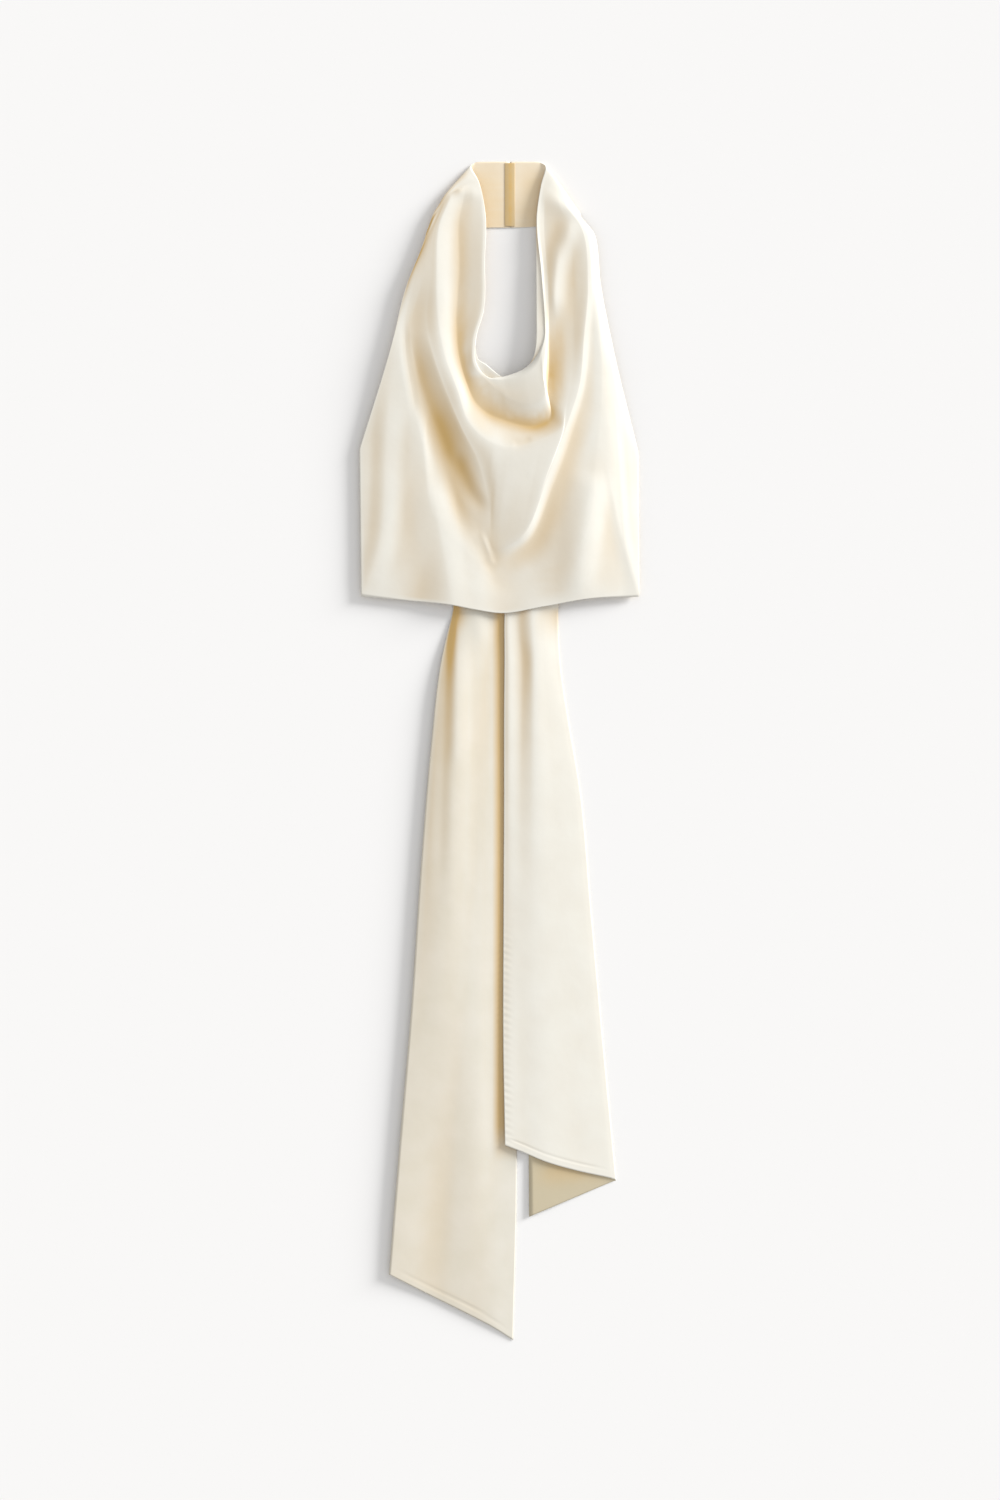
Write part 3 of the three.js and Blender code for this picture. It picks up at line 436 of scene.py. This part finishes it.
def fold_rise(fold, grid):
    """How far a single fold raises each point of a grid."""
    run = np.array(fold["run"], float)
    fine = smooth_run(run, [FOLD_RUN_CELLS] * (len(run) - 1), [0.0] * len(run))
    flat = grid[..., :2]
    nearest = np.full(flat.shape[:-1], np.inf)
    side = np.zeros(flat.shape[:-1])
    along = np.zeros(flat.shape[:-1])
    for index in range(len(fine) - 1):
        start, chord = fine[index], fine[index + 1] - fine[index]
        offset = flat - start
        t = np.clip(offset @ chord / (chord @ chord), 0, 1)
        distance = np.linalg.norm(offset - t[..., None] * chord, axis=-1)
        closer = distance < nearest
        nearest = np.where(closer, distance, nearest)
        turn = chord[0] * offset[..., 1] - chord[1] * offset[..., 0]
        side = np.where(closer, np.sign(turn), side)
        along = np.where(closer, (index + t) / (len(fine) - 1), along)
    # down grows downwards in the table, so a positive turn lies to the left of a run down the cloth
    width = np.where(side > 0, fold["left"], fold["right"])
    share = np.clip(nearest / width, 0, 1)
    soft = 0.5 + 0.5 * np.cos(math.pi * share)
    hard = (1 - share) ** 2
    to_end = np.minimum(along, 1 - along) + FOLD_END
    ends = np.clip(to_end / FOLD_FADE, 0, 1)
    ends = ends * ends * (3 - 2 * ends)
    return fold["rise"] * (soft * (1 - fold["crease"]) + hard * fold["crease"]) * ends


def add_folds(grid, folds, rows=slice(None)):
    """Raises a grid by its single folds, between the given rows."""
    for fold in folds:
        grid[rows, :, 2] += fold_rise(fold, grid[rows])
    grid[..., 2] = np.maximum(grid[..., 2], FLOOR)
    return grid


def add_puckers(grid):
    """Small waves that the stitches draw up along the free edge of the right tie."""
    down = grid[..., 1]
    from_edge = np.abs(grid[..., 0] - grid[:, :1, 0])
    wave = np.cos(2 * math.pi * (down - PUCKER_SLANT * from_edge) / PUCKER_SPACING)
    uneven = 0.6 + 0.4 * np.sin(down / 17.0) * np.sin(down / 41.0)
    fade = np.clip(1 - from_edge / PUCKER_WIDTH, 0, 1)
    fade = fade * np.clip((down - PUCKERS_FROM) / PUCKER_FADE, 0, 1)
    columns = sum(RIGHT_TIE_CELLS[:3])
    grid[:, :columns, 2] += (PUCKER_RISE * wave * uneven * fade)[:, :columns]
    return grid


def front_grid():
    """The front, its straps and the band behind the neck, as one sheet."""
    grid = grid_from_sections(FRONT_SECTIONS, FRONT_LINES, FRONT_CELLS, FRONT_CREASES)
    rows = slice(grid_index_of("left shoulder roll"), grid_index_of("right shoulder roll"))
    return add_folds(grid, FRONT_FOLDS, rows)


def facing_grid(front):
    """The facing: against the inside of the front at the neckline, then down to its free edge."""
    stations = [grid_index_of(row["at"]) for row in FACING_EDGE]
    cells = np.diff(stations)
    free_points = np.array([row["free"] for row in FACING_EDGE], float)
    free = smooth_run(free_points, cells, [0.0] * len(stations))
    covered = front[stations[0]:stations[-1] + 1, :FRONT_CELLS[0] + 1][:, ::-1].copy()
    covered[..., 2] -= FACING_DROP
    sewn = covered[:, -1]
    hanging = [sewn + (free - sewn) * share for share in np.linspace(0, 1, FACING_CELLS + 1)[1:]]
    return np.concatenate([covered, np.stack(hanging, axis=1)], axis=1)


def allowance_grid():
    """The seam allowance, a low ridge with its overlock stitches, and the painted shade that darkens its
    middle.
    """
    across = np.linspace(-1, 1, ALLOWANCE_CELLS[0] + 1)[:, None]
    ends = (ALLOWANCE_INSET, BAND_HEIGHT - ALLOWANCE_INSET)
    down = np.linspace(*ends, ALLOWANCE_CELLS[1] + 1)[None, :]
    grid = np.zeros((across.size, down.size, 3))
    grid[..., 0] = SEAM_X + across * ALLOWANCE_WIDTH / 2
    grid[..., 1] = down
    ridge = ALLOWANCE_RIDGE * (1 - across ** 2)
    wave = OVERLOCK_RISE * np.sin(2 * math.pi * (down + OVERLOCK_SLANT * across) / OVERLOCK_SPACING)
    grid[..., 2] = ALLOWANCE_HEIGHT + ridge + wave
    # painted shade, darkest along the middle and uneven along the length
    middle = np.exp(-((across - 0.1) / 0.45) ** 2)
    uneven = 0.75 + 0.25 * np.sin(down / 6.3) * np.sin(down / 2.7 + 1)
    return grid, ALLOWANCE_SHADE * middle * uneven


def left_tie_shade(grid):
    """How far painted shade darkens each point of the left tie, where the right tie shades it and where it
    turns from the light.
    """
    across, down = grid[..., 0], grid[..., 1]
    strip = np.clip((across - STRIP_FROM) / STRIP_FADE, 0, 1)
    under_right_tie = np.clip((down - STRIP_TOP) / STRIP_TOP_FADE, 0, 1)
    under_right_tie = under_right_tie * np.clip((STRIP_END - down) / STRIP_END_FADE, 0, 1)
    limit = TURNED_TO + TURNED_SHIFT * np.clip((down - TURNED_SHIFT_FROM) / TURNED_SHIFT_LENGTH, 0, 1)
    turned = np.clip((limit - across) / TURNED_FADE + 0.5, 0, 1) * (down > STRIP_TOP)
    return STRIP_SHADE * strip * under_right_tie + TURNED_SHADE * turned


# Pieces as meshes

def painted_shade_of_hollows(grid):
    """How much painted shade each point of a grid gets, from 0 to 1.

    It counts how far the cloth on both sides rises above the point, and how steeply the cloth
    turns away from the light, since both leave it in shade, lit only by the warm cloth round it.
    """
    margin = max(HOLLOW_REACHES) + 1
    low = grid[..., :2].min(axis=(0, 1)) - margin * HOLLOW_CELL
    places = ((grid[..., :2] - low) / HOLLOW_CELL).astype(int)
    row, column = places[..., 0], places[..., 1]
    top = np.full((row.max() + margin + 1, column.max() + margin + 1), -np.inf)
    np.maximum.at(top, (row, column), grid[..., 2])
    depth = np.zeros(row.shape)
    for reach in HOLLOW_REACHES:
        deepest = np.zeros(row.shape)
        for down, across in HOLLOW_DIRECTIONS:
            step = (round(reach * down), round(reach * across))
            sides = top[row + step[0], column + step[1]] + top[row - step[0], column - step[1]]
            deepest = np.maximum(deepest, np.where(np.isfinite(sides), sides / 2 - grid[..., 2], 0))
        depth += deepest / len(HOLLOW_REACHES)
    facing = np.cross(np.gradient(grid, axis=0), np.gradient(grid, axis=1))
    facing /= np.maximum(np.linalg.norm(facing, axis=-1, keepdims=True), 1e-9)
    upward = facing[..., 2] * np.sign(facing[..., 2].sum())
    leftward = np.clip(-facing[..., 0] * np.sign(facing[..., 2]), 0, 1) * (upward > LEAST_UPWARD)
    turned = TURNED_PAINTED_SHADE * leftward + STEEP_PAINTED_SHADE * leftward ** 2
    value = np.clip(depth / HOLLOW_DEPTH + turned, 0, 1)
    kernel = np.ones(SMOOTHING_CELLS) / SMOOTHING_CELLS
    for axis in (0, 1):
        value = np.apply_along_axis(np.convolve, axis, value, kernel, mode="same")
    place = np.arange(grid.shape[1])
    return value * np.clip(np.minimum(place, place[::-1]) / BRIGHT_EDGE_CELLS, 0, 1)


def upward_share(grid):
    """How much of a grid faces up, less how much of it faces down."""
    return np.cross(np.gradient(grid, axis=0), np.gradient(grid, axis=1))[..., 2].sum()


def new_piece(name, grid, thickness, outside, inside, shade=0.0):
    """A sheet of cloth through a grid of points, with a wall of that thickness, in millimetres.

    Most of its outside faces up. The points are measured down the top, which turns the grid over.
    shade is painted shade for how far neighbouring cloth shades each point, from 0 to 1.
    """
    # painted shade: the hollows of the folds and the cloth turned from the light, with the given shade,
    # darken the satin towards its warm gold
    painted_shade_amount = np.clip(painted_shade_of_hollows(grid) + shade, 0, 1)
    if upward_share(grid) > 0:
        grid = grid[::-1]
        painted_shade_amount = painted_shade_amount[::-1]
    rows, columns = grid.shape[:2]
    bpy.ops.object.select_all(action="DESELECT")
    bpy.ops.mesh.primitive_grid_add(x_subdivisions=rows - 1, y_subdivisions=columns - 1, size=1)
    sheet = bpy.context.object
    sheet.name = name
    sheet.data.name = name
    count = len(sheet.data.vertices)
    places = np.empty(count * 3)
    sheet.data.vertices.foreach_get("co", places)
    places = places.reshape(-1, 3)
    row = np.rint((places[:, 0] + 0.5) * (rows - 1)).astype(int)
    column = np.rint((places[:, 1] + 0.5) * (columns - 1)).astype(int)
    points = np.stack([grid[..., 0], TOP_Y - grid[..., 1], grid[..., 2]], axis=-1) * MM
    sheet.data.vertices.foreach_set("co", points[row, column].ravel())
    write_cloth_map(sheet, points, row, column)
    painted_hollow_shade = sheet.data.attributes.new("painted_hollow_shade", "FLOAT", "POINT")
    painted_hollow_shade.data.foreach_set("value", painted_shade_amount[row, column])
    sheet.data.materials.append(outside)
    sheet.data.materials.append(inside)
    sheet.data.update()
    wall = sheet.modifiers.new("cloth wall", "SOLIDIFY")
    wall.thickness = thickness * MM
    wall.offset = 0.0
    wall.material_offset = 1
    bpy.ops.object.modifier_apply(modifier=wall.name)
    bpy.ops.object.shade_smooth()
    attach(sheet, "root")
    return sheet


def write_cloth_map(sheet, points, row, column):
    """Writes the piece's UV map as real distances over the cloth, in metres."""
    across = np.zeros(points.shape[:2])
    across[:, 1:] = np.cumsum(np.linalg.norm(np.diff(points, axis=1), axis=-1), axis=1)
    along = np.zeros(points.shape[:2])
    along[1:] = np.cumsum(np.linalg.norm(np.diff(points, axis=0), axis=-1).mean(axis=1))[:, None]
    corner_vertex = np.empty(len(sheet.data.loops), int)
    sheet.data.loops.foreach_get("vertex_index", corner_vertex)
    values = np.stack([across[row, column], along[row, column]], axis=-1)[corner_vertex]
    sheet.data.uv_layers.active.name = "cloth"
    sheet.data.uv_layers.active.data.foreach_set("uv", values.ravel())


# Materials

def colour(hex_value):
    """An sRGB hex colour as the linear colour that the shader takes."""
    parts = [int(hex_value[start:start + 2], 16) / 255 for start in (1, 3, 5)]
    linear = [part / 12.92 if part <= 0.04045 else ((part + 0.055) / 1.055) ** 2.4 for part in parts]
    return (*linear, 1.0)


def add_node(tree, kind, settings=None, values=None, links=None):
    """Adds a node, with its settings, its sockets' values and the links into its sockets."""
    node = tree.nodes.new(kind)
    for key, value in (settings or {}).items():
        setattr(node, key, value)
    for key, value in (values or {}).items():
        node.inputs[key].default_value = value
    for key, source in (links or {}).items():
        tree.links.new(source, node.inputs[key])
    return node


def satin(name, base, deep, painted_hollow_shade, roughness, sheen):
    """Woven polyester satin: long floats give a smooth, bright face with soft streaks of light.

    Its threads are 0.12 mm apart, too fine to show, so they are drawn 0.6 mm apart.
    """
    material = bpy.data.materials.new(name)
    material.use_nodes = True
    tree = material.node_tree
    tree.nodes.clear()
    place = add_node(tree, "ShaderNodeTexCoord")
    scale = (1 / (THREAD_SPACING * MM), 1 / (THREAD_RUN * MM), 1)
    threads = add_node(tree, "ShaderNodeMapping", values={"Scale": scale},
                       links={"Vector": place.outputs["UV"]})
    thread_noise = add_node(tree, "ShaderNodeTexNoise", values={"Scale": 1.0, "Detail": 2.0},
                            links={"Vector": threads.outputs["Vector"]})
    wave_noise = add_node(tree, "ShaderNodeTexNoise", values={"Scale": PATCHES_PER_METRE, "Detail": 3.0},
                          links={"Vector": place.outputs["Object"]})
    tint = add_node(tree, "ShaderNodeMapRange", values={"From Min": 0.3, "From Max": 0.7},
                    links={"Value": wave_noise.outputs["Fac"]})
    mix = add_node(tree, "ShaderNodeMix", settings={"data_type": "RGBA"},
                   links={"Factor": tint.outputs["Result"]})
    mix.inputs[6].default_value = colour(deep)
    mix.inputs[7].default_value = colour(base)
    # painted shade: an attribute of each piece mixes the satin towards the warm gold of its hollows
    depth = add_node(tree, "ShaderNodeAttribute", settings={"attribute_name": "painted_hollow_shade"})
    warm = add_node(tree, "ShaderNodeMix", settings={"data_type": "RGBA"},
                    links={"Factor": depth.outputs["Fac"]})
    tree.links.new(mix.outputs[2], warm.inputs[6])
    warm.inputs[7].default_value = colour(painted_hollow_shade)
    gloss = add_node(tree, "ShaderNodeMapRange",
                     values={"To Min": roughness - ROUGHNESS_SPREAD, "To Max": roughness + ROUGHNESS_SPREAD},
                     links={"Value": thread_noise.outputs["Fac"]})
    ripple = add_node(tree, "ShaderNodeBump", values={"Strength": 0.25, "Distance": 0.0012},
                      links={"Height": wave_noise.outputs["Fac"]})
    weave = add_node(tree, "ShaderNodeBump", values={"Strength": 0.06, "Distance": 0.0002},
                     links={"Height": thread_noise.outputs["Fac"], "Normal": ripple.outputs["Normal"]})
    shader = add_node(tree, "ShaderNodeBsdfPrincipled",
                      values={"IOR": 1.5, "Sheen Weight": sheen, "Sheen Roughness": 0.4,
                              "Anisotropic": 0.35},
                      links={"Base Color": warm.outputs[2], "Roughness": gloss.outputs["Result"],
                             "Normal": weave.outputs["Normal"]})
    add_node(tree, "ShaderNodeOutputMaterial", links={"Surface": shader.outputs["BSDF"]})
    return material


def seamless_paper(name, tone):
    """Matt white background paper, smooth and even."""
    material = bpy.data.materials.new(name)
    material.use_nodes = True
    tree = material.node_tree
    tree.nodes.clear()
    place = add_node(tree, "ShaderNodeTexCoord")
    grain = add_node(tree, "ShaderNodeTexNoise", values={"Scale": 900.0},
                     links={"Vector": place.outputs["Object"]})
    bump = add_node(tree, "ShaderNodeBump", values={"Strength": 0.02, "Distance": 0.0001},
                    links={"Height": grain.outputs["Fac"]})
    shader = add_node(tree, "ShaderNodeBsdfPrincipled",
                      values={"Base Color": colour(tone), "Roughness": 0.9, "Specular IOR Level": 0.1},
                      links={"Normal": bump.outputs["Normal"]})
    add_node(tree, "ShaderNodeOutputMaterial", links={"Surface": shader.outputs["BSDF"]})
    return material


def find_or_make(name, make, *values):
    """A material that several pieces share."""
    return bpy.data.materials.get(name) or make(name, *values)


# A smooth ivory with a low, wide shine, as the satin's long floats give, and a golden painted shade in the
# hollows of the folds
def outside_satin():
    look = bpy.context.scene.halter_cloth
    return find_or_make("ivory polyester satin, bright side", satin, look.base, look.deep, look.painted_hollow_shade,
                        *BRIGHT_SIDE)


# The same shine on a slightly deeper ivory, a painted shade, since the left tie lies low and turns from the
# light
def left_tie_shaded_satin():
    look = bpy.context.scene.halter_cloth
    return find_or_make("ivory polyester satin, bright side of the left tie", satin, look.left_tie_shaded_base,
                        look.left_tie_shaded_deep, look.painted_hollow_shade, *BRIGHT_SIDE)


# A warm, matter beige, as the back of a satin weave looks inside the neck band
def inside_satin():
    look = bpy.context.scene.halter_cloth
    return find_or_make("ivory polyester satin, dull side", satin, look.inside, look.inside_deep,
                        look.inside_painted_shade, *DULL_SIDE)


# A khaki beige, the dull back of the weave with painted shade, where one layer of a tie covers the other
def tie_dull_side_and_shade_satin():
    look = bpy.context.scene.halter_cloth
    return find_or_make("ivory polyester satin, dull side of the ties", satin, look.tie_dull_side_and_shade,
                        look.tie_dull_side_and_shade, look.painted_hollow_shade, *DULL_SIDE)


# A darker golden strip with hardly any shine, as the overlock thread covers the satin there
def overlocked_satin():
    look = bpy.context.scene.halter_cloth
    return find_or_make("overlocked satin seam allowance", satin, look.seam, look.seam, look.painted_hollow_shade,
                        *OVERLOCKED)


# What a user would change

class HalterCloth(bpy.types.PropertyGroup):
    """The cloth of the top."""

    thickness: bpy.props.FloatProperty(
        name="Cloth thickness", description="Thickness of the satin, in millimetres", default=0.6)
    base: bpy.props.StringProperty(
        name="Satin colour", description="sRGB hex colour of the satin", default="#EAE7DD")
    deep: bpy.props.StringProperty(
        name="Satin shade", description="sRGB hex colour of its slightly deeper patches", default="#E7E3D8")
    # painted shade: the warm, darker gold painted into the hollows of the folds and onto cloth turned from
    # the light
    painted_hollow_shade: bpy.props.StringProperty(
        name="Hollow colour", description="sRGB hex colour that the folds' hollows glow in",
        default="#D3AF6E")
    inside: bpy.props.StringProperty(
        name="Inside colour", description="sRGB hex colour of the satin's dull side", default="#EFE1C9")
    inside_deep: bpy.props.StringProperty(
        name="Inside shade", description="sRGB hex colour of its deeper patches", default="#EAD9BD")
    # painted shade: the warm, darker colour painted into the hollows of the dull side
    inside_painted_shade: bpy.props.StringProperty(
        name="Inside hollow colour", description="sRGB hex colour of the dull side in hollows",
        default="#EBD5B0")
    # painted shade: the left tie's satin is a darker copy of the bright satin, as it is less lit
    left_tie_shaded_base: bpy.props.StringProperty(
        name="Left tie colour", description="sRGB hex colour of the left tie, which is less lit",
        default="#E0DBCF")
    left_tie_shaded_deep: bpy.props.StringProperty(
        name="Left tie shade", description="sRGB hex colour of the left tie's deeper patches",
        default="#DBD6C8")
    # partly the dull side's own colour and partly painted shade, where the upper layer of a tie shades the
    # lower
    tie_dull_side_and_shade: bpy.props.StringProperty(
        name="Inside of the ties", description="sRGB hex colour of the ties' dull side", default="#C8BCA0")
    seam: bpy.props.StringProperty(
        name="Seam colour", description="sRGB hex colour of the overlocked seam allowance",
        default="#CDB589")


class HalterStage(bpy.types.PropertyGroup):
    """The stage under and round the top."""

    tone: bpy.props.StringProperty(
        name="Floor colour", description="sRGB hex colour of the floor", default="#F4F3F2")
    width: bpy.props.FloatProperty(
        name="Floor width", description="Side of the square floor", default=12.0, unit="LENGTH")
    view_height: bpy.props.FloatProperty(
        name="View height", description="Height of the photo's frame on the floor", default=1.65,
        unit="LENGTH")
    lens: bpy.props.FloatProperty(
        name="Lens", description="Focal length of the camera, in millimetres", default=85.0)
    sky: bpy.props.FloatProperty(
        name="Sky light", description="Strength of the light from all round", default=0.67)
    key: bpy.props.FloatProperty(
        name="Main light", description="Strength of the soft light from the right", default=4.6)


# What builds the pieces

class HALTER_OT_front(bpy.types.Operator):
    """Builds the front with its straps and neck band"""

    bl_idname = "halter.front"
    bl_label = "Front and straps"

    def execute(self, context):
        grid = front_grid()
        front = new_piece("front", grid, context.scene.halter_cloth.thickness, outside_satin(),
                          inside_satin())
        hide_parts("front_panel")
        return {"FINISHED"}


class HALTER_OT_facing(bpy.types.Operator):
    """Builds the facing inside the neckline"""

    bl_idname = "halter.facing"
    bl_label = "Neck facing"

    def execute(self, context):
        grid = facing_grid(front_grid())
        facing = new_piece("facing", grid, context.scene.halter_cloth.thickness, outside_satin(),
                           outside_satin())
        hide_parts("neck_facing")
        return {"FINISHED"}


class HALTER_OT_allowance(bpy.types.Operator):
    """Builds the pressed seam allowance behind the neck"""

    bl_idname = "halter.allowance"
    bl_label = "Neck seam allowance"

    def execute(self, context):
        grid, shade = allowance_grid()
        allowance = new_piece("allowance", grid, ALLOWANCE_THICKNESS, overlocked_satin(),
                              overlocked_satin(), shade)
        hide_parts("neck_seam_allowance")
        return {"FINISHED"}


class HALTER_OT_left_tie(bpy.types.Operator):
    """Builds the left tie"""

    bl_idname = "halter.left_tie"
    bl_label = "Left tie"

    def execute(self, context):
        grid = grid_from_sections(LEFT_TIE_SECTIONS, LEFT_TIE_LINES, LEFT_TIE_CELLS, {})
        add_folds(grid, LEFT_TIE_FOLDS)
        tie = new_piece("left_tie", grid, context.scene.halter_cloth.thickness, left_tie_shaded_satin(),
                        tie_dull_side_and_shade_satin(), left_tie_shade(grid))
        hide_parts("tie_left")
        return {"FINISHED"}


class HALTER_OT_right_tie(bpy.types.Operator):
    """Builds the right tie, folded in two over the left one"""

    bl_idname = "halter.right_tie"
    bl_label = "Right tie"

    def execute(self, context):
        grid = grid_from_sections(RIGHT_TIE_SECTIONS, RIGHT_TIE_LINES, RIGHT_TIE_CELLS, {})
        upper = sum(RIGHT_TIE_CELLS[:5])
        grid[:, :upper] = add_puckers(add_folds(grid[:, :upper], RIGHT_TIE_FOLDS))
        tie = new_piece("right_tie", grid, context.scene.halter_cloth.thickness, outside_satin(),
                        tie_dull_side_and_shade_satin())
        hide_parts("tie_right")
        return {"FINISHED"}


class HALTER_OT_stage(bpy.types.Operator):
    """Lays the floor and sets the lights and the camera straight above"""

    bl_idname = "halter.stage"
    bl_label = "Floor, lights and camera"

    def execute(self, context):
        stage = context.scene.halter_stage
        bpy.ops.object.select_all(action="DESELECT")
        bpy.ops.mesh.primitive_plane_add(size=stage.width, location=(0, 0, -FLOOR_DROP * MM))
        floor = context.object
        floor.name = "floor"
        bpy.ops.object.transform_apply(location=True)
        floor.data.materials.append(seamless_paper("matt white background paper", stage.tone))
        self.add_sky(context, stage.sky)
        self.add_light("main light", LIGHT_FROM, LIGHT_SPREAD, stage.key)
        self.add_camera(context, stage)
        return {"FINISHED"}

    def add_sky(self, context, strength):
        """Even light from all round."""
        world = bpy.data.worlds.new("even sky")
        world.use_nodes = True
        background = world.node_tree.nodes["Background"]
        background.inputs["Color"].default_value = (1.0, 1.0, 1.0, 1.0)
        background.inputs["Strength"].default_value = strength
        context.scene.world = world

    def add_light(self, name, place, spread, strength):
        """A soft far light from that direction, so that the floor is evenly bright."""
        bpy.ops.object.light_add(type="SUN", location=place)
        light = bpy.context.object
        light.name = name
        light.data.angle = spread
        light.data.energy = strength
        light.rotation_euler = Vector(place).to_track_quat("Z", "Y").to_euler()

    def add_camera(self, context, stage):
        """The camera straight above, with the photo's frame 1000 wide and 1500 high."""
        distance = stage.view_height * stage.lens / SENSOR_HEIGHT
        bpy.ops.object.camera_add(location=(*CAMERA_PLACE, distance), rotation=(0, 0, 0))
        camera = context.object
        camera.data.lens = stage.lens
        camera.data.clip_end = 50.0
        context.scene.camera = camera
        context.scene.view_settings.view_transform = VIEW_TRANSFORM


class HALTER_PT_panel(bpy.types.Panel):
    """Lists what builds the top"""

    bl_label = "Halter neck top"
    bl_idname = "HALTER_PT_panel"
    bl_space_type = "VIEW_3D"
    bl_region_type = "UI"
    bl_category = "Halter top"

    def draw(self, context):
        layout = self.layout
        for group in (context.scene.halter_cloth, context.scene.halter_stage):
            for name in group.__annotations__:
                layout.prop(group, name)
        for operator in OPERATORS:
            layout.operator(operator.bl_idname)


GROUPS = {"halter_cloth": HalterCloth, "halter_stage": HalterStage}
OPERATORS = [
    HALTER_OT_left_tie,
    HALTER_OT_right_tie,
    HALTER_OT_front,
    HALTER_OT_facing,
    HALTER_OT_allowance,
    HALTER_OT_stage,
]


def register():
    for name, group in GROUPS.items():
        bpy.utils.register_class(group)
        setattr(bpy.types.Scene, name, bpy.props.PointerProperty(type=group))
    for operator in OPERATORS:
        bpy.utils.register_class(operator)
    bpy.utils.register_class(HALTER_PT_panel)


def unregister():
    bpy.utils.unregister_class(HALTER_PT_panel)
    for operator in reversed(OPERATORS):
        bpy.utils.unregister_class(operator)
    for name, group in GROUPS.items():
        delattr(bpy.types.Scene, name)
        bpy.utils.unregister_class(group)


def main():
    register()
    bpy.ops.halter.left_tie()
    bpy.ops.halter.right_tie()
    bpy.ops.halter.front()
    bpy.ops.halter.facing()
    bpy.ops.halter.allowance()
    bpy.ops.halter.stage()


if __name__ == "__main__":
    main()
